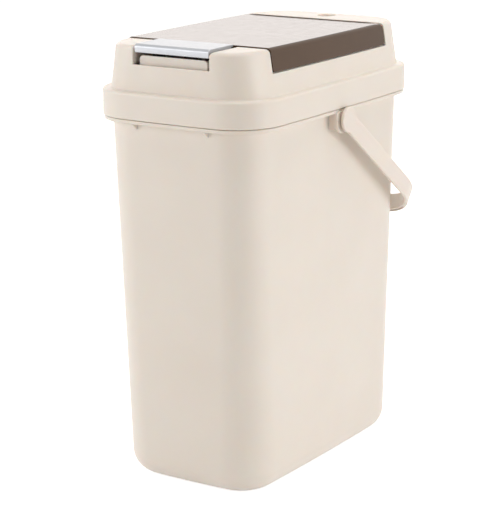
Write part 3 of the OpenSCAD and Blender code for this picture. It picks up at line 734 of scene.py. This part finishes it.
@dataclass
class Bucket(Piece):
    """The tapered bucket with its lip, rim, two ears and the gussets under the lip."""

    body: ClassVar[Body] = Body.BUCKET
    node: ClassVar[str] = "bucket"
    base: Plan = Plan(147.0, 249.6, 35.0)
    top: Plan = Plan(155.0, 267.4, 31.0)
    lip: Plan = Plan(172.4, 279.8, 38.2)
    rim: Plan = Plan(167.6, 275.0, 35.8)
    edge_r: float = 19.5
    wall: float = 2.2
    floor_t: float = 2.6
    lip_z: float = 320.0
    lip_t: float = 3.3
    rim_top: float = 344.2
    ear_r: float = 12.5
    ear_x: float = 88.0
    ear_plate_t: float = 4.0
    ear_block: float = 9.8
    ear_block_drop: float = 9.0
    ear_root: float = 76.0
    pivot_z: float = 314.0
    stud_bore_r: float = 4.08
    bore_l: float = 7.0
    gusset_x: float = 36.0
    gusset_l: float = 6.0
    gusset_t: float = 2.0
    mark_x: float = 38.5
    mark_y: float = 88.0
    lip_under: tuple[Pair, ...] = ((1.0, 0.0), (0.3, 0.3), (0.0, 1.0))
    rim_edge: tuple[Pair, ...] = ((0.0, 0.7), (0.2, 0.2), (0.7, 0.0))
    lip_edge: float = 0.5
    step_edge: float = 0.8
    outside_levels: tuple[float, ...] = (60, 110, 160, 210, 260, 300)
    inside_levels: tuple[float, ...] = (300, 240, 180, 120, 60)

    def _level(self, z: float, inset: float) -> Ring:
        """Returns the ring of the tapered wall at a height, drawn in by an inset."""
        t = z / self.lip_z
        plan = Plan(self.base.width + (self.top.width - self.base.width) * t,
                    self.base.depth + (self.top.depth - self.base.depth) * t,
                    self.base.radius + (self.top.radius - self.base.radius) * t)
        return self._ring(plan, inset, z)

    def _ring(self, plan: Plan, inset: float, z: float) -> Ring:
        """Returns a plan's ring drawn in by an inset, with marks that stay on its sides."""
        plan = plan.inset(inset)
        reach = min(self.mark_y, plan.depth / 2 - plan.radius - 2)
        half = min(self.mark_x, plan.width / 2 - plan.radius - 1)
        return plan.ring(z, Marks(-reach, reach, half, half))

    def _outside(self) -> list[Ring]:
        """Returns the rings from the foot up the outside and over the lip and the rim."""
        rings = [self._level(up, inset) for up, inset in quarter(self.edge_r, 9)]
        rings += [self._level(z, 0.0) for z in (self.edge_r, *self.outside_levels, self.lip_z)]
        low, high, edge = self.lip_z, self.lip_z + self.lip_t, self.lip_edge
        rings += [self._ring(self.lip, inset, low + rise) for inset, rise in self.lip_under]
        rings += [self._ring(self.lip, 0.0, high - edge), self._ring(self.lip, edge, high),
                  self._ring(self.rim, 0.0, high)]
        return rings + [self._ring(self.rim, inset, self.rim_top - drop)
                        for inset, drop in self.rim_edge]

    def _inside(self) -> list[Ring]:
        """Returns the rings from the rim down the inside to the floor."""
        step, edge, inner_rim = self.lip_z + self.wall, self.step_edge, self.rim.inset(self.wall)
        rings = [self._ring(inner_rim, -inset, self.rim_top - drop)
                 for inset, drop in reversed(self.rim_edge)]
        rings += [self._ring(inner_rim, 0.0, step + edge), self._ring(inner_rim, edge, step),
                  self._ring(self.top, self.wall - edge, step),
                  self._ring(self.top, self.wall, step - edge)]
        rings += [self._level(z, self.wall) for z in self.inside_levels]
        return rings + [self._level(self.floor_t + up, self.wall + inset)
                        for up, inset in reversed(quarter(self.edge_r - self.wall, 9))]

    def _ear(self) -> Obj:
        """Returns the right ear: round below, square up to the lip, and bored for the stud."""
        count = 64
        top = self.lip_z + self.lip_t / 2 - self.pivot_z

        def outline(inset: float, x: float) -> Ring:
            """Returns the ear's outline with its lower half round."""
            radius = self.ear_r - inset
            points: Ring = []
            for k in range(count):
                a = 2 * math.pi * k / count
                y, z = math.cos(a), math.sin(a)
                if z > 1e-6:
                    scale = min(1 / max(abs(y), 1e-9), (top / radius) / z)
                    y, z = y * scale, z * scale
                points.append(Vector((x, radius * y, self.pivot_z + radius * z)))
            return points

        inner, outer, bore = self.ear_x - self.ear_plate_t, self.ear_x, self.stud_bore_r
        edges = ((0.6, inner), (0.0, inner + 0.6), (0.0, outer - 1.2), (0.35, outer - 0.35),
                 (1.2, outer))
        hole = ((bore + 0.5, outer), (bore, outer - 0.5), (bore, inner))
        rings = [outline(inset, x) for inset, x in edges]
        rings += [circle((0.0, self.pivot_z), radius, x, count) for radius, x in hole]
        skin = Skin("ear", rings[0], closed_start=False).draw_all(rings[1:] + rings[:1])
        return skin.done(closed_end=False)

    def _ear_block(self) -> Obj:
        """Returns the block that joins the right ear's plate to the bucket's wall."""
        low = (self.ear_root, -self.ear_block, self.pivot_z - self.ear_block_drop)
        high = (self.ear_x - self.ear_plate_t + 0.05, self.ear_block, self.lip_z + self.lip_t / 2)
        block = Bench.box("ear_block", low, high)
        Bench.pick(block, "EDGE", lambda edge: abs(edge.verts[0].co.y - edge.verts[1].co.y) < TINY
                         and abs(edge.verts[0].co.z - edge.verts[1].co.z) < TINY)
        bpy.ops.mesh.bevel(offset=0.9 * MM, segments=4, profile=0.5)
        Bench.bar(block, Cut.TAKE_AWAY, (self.ear_x - self.bore_l, 0, self.pivot_z),
                  (self.ear_x + 1, 0, self.pivot_z), self.stud_bore_r, 64)
        return block

    def _gusset(self) -> Obj:
        """Returns the right gusset, a small triangle under the lip at the front."""
        wall = -self.top.depth / 2 + self.top.bow * (2 * self.gusset_x / self.top.width) ** 2
        side = [(wall + 1, self.lip_z + 1), (wall - self.gusset_l, self.lip_z + 1),
                (wall - self.gusset_l, self.lip_z - 0.5), (wall + 1, self.lip_z - self.gusset_l)]
        prism = side_prism("gusset", side, self.gusset_t / 2)
        Bench.round_edges(prism, 0.3, 2)
        Bench.take(prism)
        prism.location.x = self.gusset_x * MM
        Bench.settle(prism)
        return prism

    def shape(self) -> Obj:
        """Models the bucket."""
        rings = self._outside() + self._inside()
        shell = Skin("bucket_shell", rings[0]).draw_all(rings[1:]).done()
        extras = []
        for make in (self._ear, self._ear_block, self._gusset):
            right = make()
            extras += [right, mirrored(right)]
        Bench.join(shell, extras)
        return shell


def mirrored(obj: Obj) -> Obj:
    """Returns a copy of a piece on the bin's other side, with its own mesh, faces outwards."""
    Bench.take(obj)
    bpy.ops.object.duplicate()
    twin = bpy.context.object
    twin.scale.x = -1
    Bench.settle(twin)
    Bench.outwards(twin)
    return twin


@dataclass
class Bail(Piece):
    """The carrying bail: flat arms, round corners and a hollow grip, hung on two studs."""

    body: ClassVar[Body] = Body.BAIL
    node: ClassVar[str] = "bail_handle"
    pivot_z: float = 314.0
    lean: float = 36.8
    arm_in: float = 90.4
    arm_t: float = 3.0
    strap_w: float = 16.6
    strap_drop: float = 1.2
    corner_r: float = 45.0
    grip_in: float = 170.557
    grip_t: float = 6.5
    grip_wall: float = 1.8
    eye_r: float = 11.2
    hub_r: float = 7.5
    hub_x: float = 88.2
    stud_r: float = 4.0
    stud_x: float = 81.5
    edge: float = 1.0
    arm_stops: Pair = (45.0, 85.0)
    corner_steps: int = 20
    hollow_from: int = 8

    def _hung(self, x: float, y: float, z: float) -> Vector:
        """Turns a point of the level bail to where the bail rests."""
        a = math.radians(self.lean)
        return Vector((x, y * math.cos(a) + z * math.sin(a),
                       self.pivot_z - y * math.sin(a) + z * math.cos(a)))

    def _sections(self) -> list[tuple[float, float, float, float, float, float]]:
        """Returns the right half's sections as inner x, y, outer x, y, low and high."""
        high, low = self.strap_w / 2 - self.strap_drop, -self.strap_w / 2 - self.strap_drop
        outer_x = self.arm_in + self.arm_t
        rows = []
        for degrees in range(4, 141, 8):
            a = math.radians(degrees)
            y, reach = -self.eye_r * math.cos(a), self.eye_r * math.sin(a)
            top = max(reach, high) if y > 0 else reach
            bottom = min(-reach, low) if y > 0 else -reach
            rows.append((self.arm_in, y, outer_x, y, bottom, top))
        rows += [(self.arm_in, y, outer_x, y, low, high) for y in (self.eye_r, *self.arm_stops)]
        for k in range(self.corner_steps + 1):
            a = math.radians(90 * k / self.corner_steps)
            cx, cy, r = self.arm_in - self.corner_r, self.grip_in - self.corner_r, self.corner_r
            rows.append((cx + r * math.cos(a), cy + r * math.sin(a),
                         cx + (r + self.arm_t) * math.cos(a),
                         cy + (r + self.grip_t) * math.sin(a), low, high))
        return rows

    def _strap(self) -> Obj:
        """Returns the strap with its round ends and its hollow grip."""
        right = self._sections()
        left = [(-ix, iy, -ox, oy, low, high) for ix, iy, ox, oy, low, high in reversed(right)]
        rings = [[self._hung(ix, iy, low), self._hung(ox, oy, low), self._hung(ox, oy, high),
                  self._hung(ix, iy, high)] for ix, iy, ox, oy, low, high in right + left]
        strap = Skin("strap", rings[0]).draw_all(rings[1:]).done()
        Bench.pick(strap, "FACE", lambda face: abs(face.normal.x) > SQUARE)
        bpy.ops.mesh.dissolve_faces()
        Bench.pick(strap, "EDGE", lambda edge: edge.calc_face_angle(0.0) > math.radians(40))
        bpy.ops.mesh.bevel(offset=self.edge * MM, segments=3, profile=0.5, clamp_overlap=False)
        down = (self._hung(0, 0, -1) - self._hung(0, 0, 0)).normalized()
        first = right[-1 - self.corner_steps + self.hollow_from]
        reach = abs(first[0]) * MM
        Bench.pick(strap, "FACE", lambda face: face.normal.dot(down) > SQUARE
                         and abs(face.calc_center_median().x) < reach)
        bpy.ops.mesh.inset(thickness=(self.grip_wall - self.edge) * MM, use_even_offset=True)
        depth = (self.strap_w - self.grip_wall) * MM
        bpy.ops.mesh.extrude_region_move(TRANSFORM_OT_translate={"value": tuple(-down * depth)})
        Bench.outwards(strap)
        return strap

    def _end(self) -> Obj:
        """Returns the right hub and stud, as one turned form."""
        stud, hub, x = self.stud_r, self.hub_r, self.hub_x
        profile = [(stud - 0.6, self.stud_x), (stud, self.stud_x + 0.6), (stud, x),
                   (hub - 0.3, x), (hub, x + 0.3), (hub, self.arm_in + 0.5)]
        return turned("hub", (0.0, self.pivot_z), profile, 48, -self.lean)

    def shape(self) -> Obj:
        """Models the bail."""
        strap = self._strap()
        strap.name = "bail_moulding"
        hub = self._end()
        Bench.join(strap, [hub, mirrored(hub)])
        return strap


@dataclass
class HoodForm:
    """The sizes that the cover's hood and the lid share."""

    cover: Plan = Plan(174.0, 281.4, 39.0)
    ledge: float = 7.3
    skirt_z: float = 323.9
    skirt_top: float = 346.6
    top: float = 385.0
    side_lean: float = 6.2
    end_lean: float = 0.3
    top_edge_r: float = 3.6
    notch_half: float = 38.5
    notch_sill: float = 369.5
    notch_r: float = 4.0
    slot_front: float = -94.7
    slot_rear: float = 93.4
    slot_floor: float = 365.2

    def plan(self, z: float) -> Plan:
        """Returns the hood's outline at a height, without the rounding of its top edge."""
        share = (z - self.skirt_top) / (self.top - self.skirt_top)
        return Plan(self.cover.width - 2 * self.ledge - 2 * self.side_lean * share,
                    self.cover.depth - 2 * self.ledge - 2 * self.end_lean * share,
                    self.cover.radius - self.ledge)

    def notch_at(self, z: float) -> float:
        """Returns half the notch's width at a height, flaring where it meets the top."""
        rise = z - (self.top - self.notch_r)
        if rise <= 0:
            return self.notch_half
        return self.notch_half + self.notch_r - math.sqrt(max(self.notch_r ** 2 - rise ** 2, 0.0))

    def ring(self, z: float, inset: float = 0.0) -> Ring:
        """Returns the hood's ring at a height with points kept at the slot and the notch."""
        marks = Marks(self.slot_front, self.slot_rear, self.notch_at(z), self.notch_half)
        return self.plan(z).inset(inset).ring(z, marks)

    def top_rings(self, steps: int = 7) -> list[Ring]:
        """Returns the rings of the rounded top edge, the last of them level with the top."""
        edge = quarter(self.top_edge_r, steps)
        return [self.ring(self.top - drop, inset) for inset, drop in edge]


@dataclass
class Hood(Piece):
    """The cover's moulding: skirt, ledge and hood, with the lid's slot, the notch and a dimple."""

    body: ClassVar[Body] = Body.COVER
    node: ClassVar[str] = "hood_cover"
    form: HoodForm = field(default_factory=HoodForm)
    wall: float = 2.2
    skirt_middle: float = 334.0
    wall_levels: tuple[float, ...] = (374.0, 378.0)
    root_top: float = 356.0
    skirt_edge_r: float = 2.4
    root_r: float = 1.2
    edge: float = 0.45
    dimple_y: float = 116.0
    dimple_r: float = 8.5
    dimple_t: float = 2.0
    boss_r: float = 4.0
    pilot_r: float = 1.55
    roof_z: float = 382.8
    bosses: tuple[tuple[float, ...], ...] = (
        (46.0, -115.22, 352.4, 364.0), (54.0, 106.9, 371.0, 380.5))

    def _rings(self) -> list[Ring]:
        """Returns the rings from the skirt's lower edge to the top."""
        form = self.form
        marks = Marks(form.slot_front, form.slot_rear, form.notch_half, form.notch_half)
        levels = [(0.0, form.skirt_z), (0.0, self.skirt_middle)]
        levels += [(inset, form.skirt_top - drop) for inset, drop in quarter(self.skirt_edge_r, 6)]
        rings = [form.cover.inset(inset).ring(z, marks) for inset, z in levels]
        rings += [form.ring(form.skirt_top + up, -out) for up, out in quarter(self.root_r, 4)]
        walls = (self.root_top, form.slot_floor, form.notch_sill, *self.wall_levels)
        rings += [form.ring(z) for z in walls]
        return rings + form.top_rings()

    def _open(self, shell: Obj) -> None:
        """Takes the lid's slot and the button's notch out of the roof and the walls."""
        form = self.form
        flare = (form.notch_half + form.notch_r) * MM
        front, rear = form.slot_front * MM, form.slot_rear * MM
        roof_z = form.top * MM - TINY
        cuts = (((0, front, 0), (0, 1, 0), FAR), ((0, rear, 0), (0, 1, 0), FAR),
                ((flare, 0, 0), (1, 0, 0), front), ((-flare, 0, 0), (1, 0, 0), front))
        for where, normal, behind in cuts:
            Bench.pick(shell, "FACE", lambda face: face.normal.z > SQUARE
                       and face.calc_center_median().z > roof_z
                       and face.calc_center_median().y < behind)
            bpy.ops.mesh.bisect(plane_co=where, plane_no=normal, threshold=20 * TINY)

        def taken(face: bmesh.types.BMFace) -> bool:
            """Tells whether a face lies where the lid or the button goes."""
            x, y, z = face.calc_center_median() / MM
            in_slot = form.slot_front < y < form.slot_rear and z > form.slot_floor
            before_slot = y < form.slot_front and z > form.notch_sill
            return in_slot or before_slot and abs(x) < form.notch_at(z) - 0.2

        Bench.pick(shell, "FACE", taken)
        bpy.ops.mesh.delete(type="FACE")

    def _cheeks(self, shell: Obj) -> None:
        """Draws the notch's two side walls back to the slot."""
        form = self.form

        def beside_notch(edge: bmesh.types.BMEdge) -> bool:
            """Tells whether an edge runs up one side of the notch."""
            a, b = (vert.co / MM for vert in edge.verts)
            return (edge.is_boundary and abs(a.z - b.z) > 0.01
                    and min(a.z, b.z) > form.notch_sill - 0.01
                    and max(a.y, b.y) < form.slot_front - 5
                    and abs(a.x) < form.notch_half + form.notch_r + 0.1)

        Bench.pick(shell, "EDGE", beside_notch)
        bpy.ops.mesh.extrude_edges_indiv()
        mesh = bmesh.from_edit_mesh(shell.data)
        for vert in mesh.verts:
            if vert.select:
                vert.co.y = form.slot_front * MM
        bmesh.update_edit_mesh(shell.data)
        bpy.ops.object.mode_set(mode="OBJECT")

    def _dimple(self, shell: Obj) -> None:
        """Sinks the round finger dimple into the roof behind the lid, with a boss below it."""
        roof, deep = self.form.top, self.form.top - self.dimple_t
        y, r, sides = self.dimple_y, self.dimple_r, 64
        Bench.bar(shell, Cut.ADD, (0, y, deep - self.wall), (0, y, roof - self.wall / 2),
                  r + self.wall, sides)
        Bench.bar(shell, Cut.TAKE_AWAY, (0, y, deep), (0, y, roof + 5), r, sides)

    def _screw_bosses(self, shell: Obj) -> None:
        """Adds the bored bosses under the roof that take the housing's and the bracket's screws."""
        for x, y, low, deep in self.bosses:
            for side in (-x, x):
                Bench.bar(shell, Cut.ADD, (side, y, low), (side, y, self.roof_z + 0.5),
                          self.boss_r, 40)
                Bench.bar(shell, Cut.TAKE_AWAY, (side, y, low - 1), (side, y, deep),
                          self.pilot_r, 24)

    def shape(self) -> Obj:
        """Models the cover's moulding."""
        rings = self._rings()
        shell = Skin("cover_moulding", rings[0], closed_start=False).draw_all(rings[1:]).done()
        self._open(shell)
        self._cheeks(shell)
        Bench.outwards(shell, 0.02)
        Bench.modify(shell, "SOLIDIFY", thickness=self.wall * MM, offset=-1, use_even_offset=True,
                     use_quality_normals=True)
        self._dimple(shell)
        Bench.round_edges(shell, self.edge, 3)
        self._screw_bosses(shell)
        return shell


@dataclass
class Lid(Piece):
    """The brown lid: a flat top that rounds over into side flanges and curls about the rod."""

    slot: ClassVar[Slot] = Slot.BROWN
    body: ClassVar[Body] = Body.LID
    node: ClassVar[str] = "lid_panel"
    form: HoodForm = field(default_factory=HoodForm)
    front: float = -93.0
    rear: float = 92.4
    wall: float = 2.5
    flange_z: float = 366.0
    hinge_y: float = 86.4
    hinge_z: float = 379.0
    barrel_r: float = 6.0
    barrel_in: float = 4.3
    rear_r: float = 5.0
    nose_r: float = 1.5
    rod_r: float = 2.05
    edge: float = 0.6
    front_lift: float = 0.8
    outer_levels: tuple[float, ...] = (362.0, 370.0, 376.0)
    inner_levels: tuple[float, ...] = (355.0, 365.0, 375.0, 390.0)
    knuckles: tuple[Pair, ...] = ((-24.0, 24.0), (48.2, 59.0), (-59.0, -48.2))

    def _outer(self) -> Obj:
        """Returns the lid as a solid block, whose top stands a little proud towards the front."""
        form = self.form
        rings = [form.ring(z) for z in self.outer_levels] + form.top_rings()
        root = form.top - form.top_edge_r
        for point in (point for ring in rings for point in ring if point.z > root):
            share = (self.rear - point.y) / (self.rear - self.front)
            point.z += self.front_lift * share * (point.z - root) / form.top_edge_r
        block = Skin("lid_moulding", rings[0]).draw_all(rings[1:]).done()
        side = (arc(self.front + self.nose_r, self.flange_z + self.nose_r, self.nose_r, 180, 270, 6)
                + arc(self.rear - self.rear_r, self.flange_z + self.rear_r, self.rear_r, 270, 360)
                + arc(self.hinge_y, self.hinge_z, self.barrel_r, 0, 90)
                + [(self.hinge_y, form.top + 3), (self.front, form.top + 3)])
        Bench.combine(block, side_prism("side", side, FAR / 2), Cut.KEEP_SHARED)
        return block

    def _hollow(self) -> Obj:
        """Returns the form of the lid's hollow, which is open in front, behind and below."""
        form = self.form
        rings = [form.ring(z, self.wall) for z in self.inner_levels]
        core = Skin("hollow", rings[0]).draw_all(rings[1:]).done()
        roof = form.top - self.wall
        meet = math.degrees(math.asin((roof - self.hinge_z) / self.barrel_in))
        side = ([(-FAR / 2, 350.0), (FAR / 2, 350.0), (FAR / 2, self.hinge_z)]
                + arc(self.hinge_y, self.hinge_z, self.barrel_in, 0, 180 - meet)
                + [(-FAR / 2, roof)])
        Bench.combine(core, side_prism("hollow_side", side, FAR / 2), Cut.KEEP_SHARED)
        return core

    def _knuckle(self, start: float, end: float) -> Obj:
        """Returns one knuckle, a tube about the hinge rod."""
        outer, inner = self.barrel_in + 0.3, self.rod_r
        profile = [(inner, start), (outer - 0.3, start), (outer, start + 0.3), (outer, end - 0.3),
                   (outer - 0.3, end), (inner, end), (inner, start)]
        return turned("knuckle", (self.hinge_y, self.hinge_z), profile, 40, solid=False)

    def shape(self) -> Obj:
        """Models the lid."""
        lid = self._outer()
        Bench.combine(lid, self._hollow(), Cut.TAKE_AWAY)
        Bench.outwards(lid)
        Bench.round_edges(lid, self.edge, 3)
        Bench.join(lid, [self._knuckle(*span) for span in self.knuckles])
        return lid


@dataclass
class Button(Piece):
    """The silver cap of the push button, rounded over into its front face and open below."""

    slot: ClassVar[Slot] = Slot.SILVER
    body: ClassVar[Body] = Body.LATCH
    node: ClassVar[str] = "push_button"
    half: float = 37.3
    front: float = -131.3
    rear: float = -95.2
    low: float = 379.6
    top: float = 386.7
    wall: float = 2.0
    front_r: float = 3.0
    end_r: float = 0.8
    back_cut: float = -98.1
    peg_x: float = 24.0
    peg_y: float = -118.95
    peg_r: float = 2.0

    def shape(self) -> Obj:
        """Models the cap."""
        cap = Bench.box("button_cap", (-self.half, self.front, self.low),
                        (self.half, self.rear, self.top))
        y, z = self.front * MM, self.top * MM
        Bench.pick(cap, "EDGE", lambda edge: all(
            abs(vert.co.y - y) < TINY and abs(vert.co.z - z) < TINY for vert in edge.verts))
        bpy.ops.mesh.bevel(offset=self.front_r * MM, segments=10, profile=0.5)
        under = self.low * MM + TINY
        back = self.rear * MM - TINY
        Bench.pick(cap, "FACE", lambda face: face.calc_center_median().z < under
                   or face.calc_center_median().y > back)
        bpy.ops.mesh.delete(type="FACE")
        plate = (self.top - self.wall) * MM
        for where, normal in (((0, self.back_cut * MM, 0), (0, 1, 0)), ((0, 0, plate), (0, 0, 1))):
            Bench.pick(cap, "FACE", lambda face: abs(face.normal.x) > SQUARE)
            bpy.ops.mesh.bisect(plane_co=where, plane_no=normal, threshold=TINY)
        Bench.pick(cap, "FACE", lambda face: abs(face.normal.x) > SQUARE
                   and face.calc_center_median().z < plate
                   and face.calc_center_median().y > self.back_cut * MM)
        bpy.ops.mesh.delete(type="FACE")
        Bench.outwards(cap)
        Bench.modify(cap, "SOLIDIFY", thickness=self.wall * MM, offset=-1, use_even_offset=True)
        Bench.round_edges(cap, self.end_r / 2, 3, 50)
        roof = self.top - self.wall
        pegs = []
        for x in (-self.peg_x, self.peg_x):
            ends = (x, self.peg_y, roof - 3), (x, self.peg_y, roof + 0.3)
            pegs.append(Bench.rod("peg", *ends, self.peg_r, 32))
            Bench.round_edges(pegs[-1], 0.3, 2)
        Bench.join(cap, pegs)
        return cap


@dataclass
class ReturnSpring(Piece):
    """The button's return spring, which in the real bin shortens as the button goes down; here it
    keeps its rest length.
    """

    slot: ClassVar[Slot] = Slot.STEEL
    body: ClassVar[Body] = Body.COVER
    node: ClassVar[str] = "latch_spring"
    crease: ClassVar[float] = 50.0
    coil: Obj
    axis_y: float = -117.6
    foot: tuple[float, float, float] = (0.0, -113.2, 352.0)
    lean: float = 0.15
    widen: float = 1.09
    pressed: float = 0.895

    def shape(self) -> Obj:
        """Models the spring after the frame's own, a little wider, to clear the lever's peg."""
        spring = Bench.place("return_spring", self.coil.data.copy())
        Bench.outwards(spring)
        for vert in spring.data.vertices:
            vert.co.x *= self.widen
            vert.co.y = self.axis_y * MM + (vert.co.y - self.axis_y * MM) * self.widen
        return spring

    def build(self, finishes: Finishes) -> Obj:
        """Builds the spring and gives it a mesh of its own.

        Args:
            finishes: The finishes.

        Returns:
            The spring.
        """
        spring = super().build(finishes)
        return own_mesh(spring, "button_press", axis=(0, self.lean, 1),
                         anchor=[v * MM for v in self.foot], keep=self.pressed)


@dataclass
class CarriedOver:
    """The frame's own pieces that stay in view, and the finish of each."""

    nodes_by_slot: dict[Slot, tuple[str, ...]] = field(default_factory=lambda: {
        Slot.CREAM: ("deck_frame", "lid_liner", "latch_housing"),
        Slot.RUBBER: ("lid_bumpers",),
        Slot.GREY: ("hinge_bracket", "latch_lever"),
        Slot.STEEL: ("hinge_rod", "rod_clips", "lid_spring_left", "lid_spring_right",
                     "bracket_screws", "housing_screws", "latch_pin")})

    def dress(self, nodes: dict[str, Obj], finishes: Finishes) -> None:
        """Gives each carried-over piece its finish.

        Args:
            nodes: The frame's nodes by name.
            finishes: The finishes.
        """
        for slot, names in self.nodes_by_slot.items():
            for name in names:
                finishes.dress(nodes[name], slot)
                log.info("%s: carried over in %s", name, slot.value)


# --------------------------------------------------------------------------- studio


@dataclass(frozen=True)
class Lamp:
    """One soft box."""

    name: str
    place: tuple[float, float, float]
    aim: tuple[float, float, float]
    size: Pair
    power: float
    colour: Colour = (0.99, 1.0, 1.02)

    def build(self) -> None:
        """Adds the soft box and points it at its aim."""
        data = bpy.data.lights.new(self.name, "AREA")
        data.shape = "RECTANGLE"
        data.size, data.size_y = self.size
        data.energy = self.power
        data.color = self.colour
        obj = Bench.place(self.name, data)
        obj.location = self.place
        towards = Vector(self.aim) - Vector(self.place)
        obj.rotation_euler = towards.to_track_quat("-Z", "Y").to_euler()


@dataclass
class Studio:
    """The pale floor, the white surround, the soft boxes and the camera."""

    azimuth: float = 33.33
    elevation: float = 14.33
    roll: float = -0.57
    eye: tuple[float, float, float] = (0.9050, -1.3907, 0.6092)
    focal_px: float = 1900.8
    frame_px: Pair = (497.0, 505.0)
    centre_px: Pair = (251.32, 251.11)
    sensor: float = 36.0
    clip_end: float = 60.0
    ambient: float = 0.312
    ambient_colour: Colour = (1.0, 0.94, 0.84)
    floor_size: float = 30.0
    floor_patch: float = 400.0
    floor_tones: tuple[Colour, Colour] = ((0.86, 0.86, 0.86), (0.88, 0.88, 0.88))
    floor_glow: float = 0.72
    lamps: tuple[Lamp, ...] = (
        Lamp("left_box", (-1.75, -1.75, 0.9), (0.0, 0.0, 0.22), (1.4, 1.6), 31.5),
        Lamp("right_box", (2.35, 0.75, 0.55), (0.0, 0.0, 0.24), (1.1, 1.1), 10.5),
        Lamp("side_box", (2.4, -0.15, 0.6), (0.0, 0.0, 0.24), (1.1, 1.1), 13.5),
        Lamp("top_box", (0.3, 0.2, 2.4), (0.0, 0.0, 0.3), (1.8, 1.8), 25.5),
        Lamp("rear_box", (-1.46, 2.23, 1.03), (0.0, 0.0, 0.40), (3.0, 0.8), 9.7, (1.0, 0.93, 0.89)),
    )

    def _camera(self) -> None:
        """Adds the camera at the photograph's viewing angle."""
        az, el, roll = (math.radians(v) for v in (self.azimuth, self.elevation, self.roll))
        right = Vector((math.cos(az), math.sin(az), 0))
        back = Vector((math.sin(az) * math.cos(el), -math.cos(az) * math.cos(el), math.sin(el)))
        up = back.cross(right)
        turned_right = right * math.cos(roll) + up * math.sin(roll)
        turned_up = up * math.cos(roll) - right * math.sin(roll)
        data = bpy.data.cameras.new("camera")
        data.sensor_fit = "VERTICAL"
        data.sensor_height = self.sensor
        data.lens = self.sensor * self.focal_px / self.frame_px[1]
        data.shift_x = (self.frame_px[0] / 2 - self.centre_px[0]) / self.frame_px[1]
        data.shift_y = (self.centre_px[1] - self.frame_px[1] / 2) / self.frame_px[1]
        data.clip_end = self.clip_end
        obj = Bench.place("camera", data)
        turn = Matrix((turned_right, turned_up, back)).transposed().to_4x4()
        obj.matrix_world = Matrix.Translation(Vector(self.eye)) @ turn
        bpy.context.scene.camera = obj

    def _white_for_eyes(self, nodes: Nodes, seen: bpy.types.Node, lit: bpy.types.Node,
                        out: bpy.types.Node) -> None:
        """Shows one shader to the camera, gloss and glass, and another to diffuse light."""
        rays = nodes.add("LightPath").outputs
        factor = rays["Is Camera Ray"]
        for kind in ("Is Glossy Ray", "Is Transmission Ray"):
            factor = nodes.add("Math", {0: factor, 1: rays[kind]}, operation="MAXIMUM").outputs[0]
        mix = nodes.add("MixShader", {"Fac": factor, 1: lit.outputs[0], 2: seen.outputs[0]})
        nodes.fill(out, {"Surface": mix.outputs[0]})

    def _world(self) -> None:
        """Sets a white surround that lights the bin evenly and weakly."""
        world = bpy.data.worlds.new("surround")
        nodes = Nodes(world)
        nodes.tree.nodes.clear()
        seen = nodes.add("Background", {"Color": (1, 1, 1, 1), "Strength": 1.0})
        dim = {"Color": (*self.ambient_colour, 1), "Strength": self.ambient}
        lit = nodes.add("Background", dim)
        self._white_for_eyes(nodes, seen, lit, nodes.add("OutputWorld"))
        bpy.context.scene.world = world

    def _floor(self) -> None:
        """Adds a wide pale floor that keeps the bin's shadow."""
        Bench.clear()
        bpy.ops.mesh.primitive_plane_add(size=self.floor_size)
        floor = bpy.context.object
        floor.name = "floor"
        nodes = Surface("floor_paint")
        nodes.tree.nodes.remove(nodes.shader)
        tone = nodes.blend(nodes.noise(self.floor_patch), *self.floor_tones)
        paint = nodes.add("BsdfDiffuse", {"Color": tone})
        glow = nodes.add("Emission", {"Strength": self.floor_glow})
        both = nodes.add("AddShader", {0: paint.outputs[0], 1: glow.outputs[0]})
        self._white_for_eyes(nodes, both, paint, nodes.tree.nodes["Material Output"])
        floor.data.materials.append(nodes.material)

    def build(self) -> None:
        """Builds the studio."""
        scene = bpy.context.scene
        scene.view_settings.view_transform = "Standard"
        self._world()
        self._floor()
        for lamp in self.lamps:
            lamp.build()
        self._camera()
        log.info("studio: %d soft boxes", len(self.lamps))


def main() -> None:
    """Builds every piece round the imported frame, then the studio."""
    logging.basicConfig(level=logging.INFO, format="%(name)s: %(message)s")
    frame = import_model()
    finishes = Finishes()
    CarriedOver().dress(frame["nodes"], finishes)
    form = HoodForm()
    spring = ReturnSpring(frame["nodes"]["latch_spring"])
    for piece in (Bucket(), Bail(), Hood(form=form), Lid(form=form), Button(), spring):
        piece.build(finishes)
    Studio().build()
    Bench.clear()


if __name__ == "__main__":
    main()
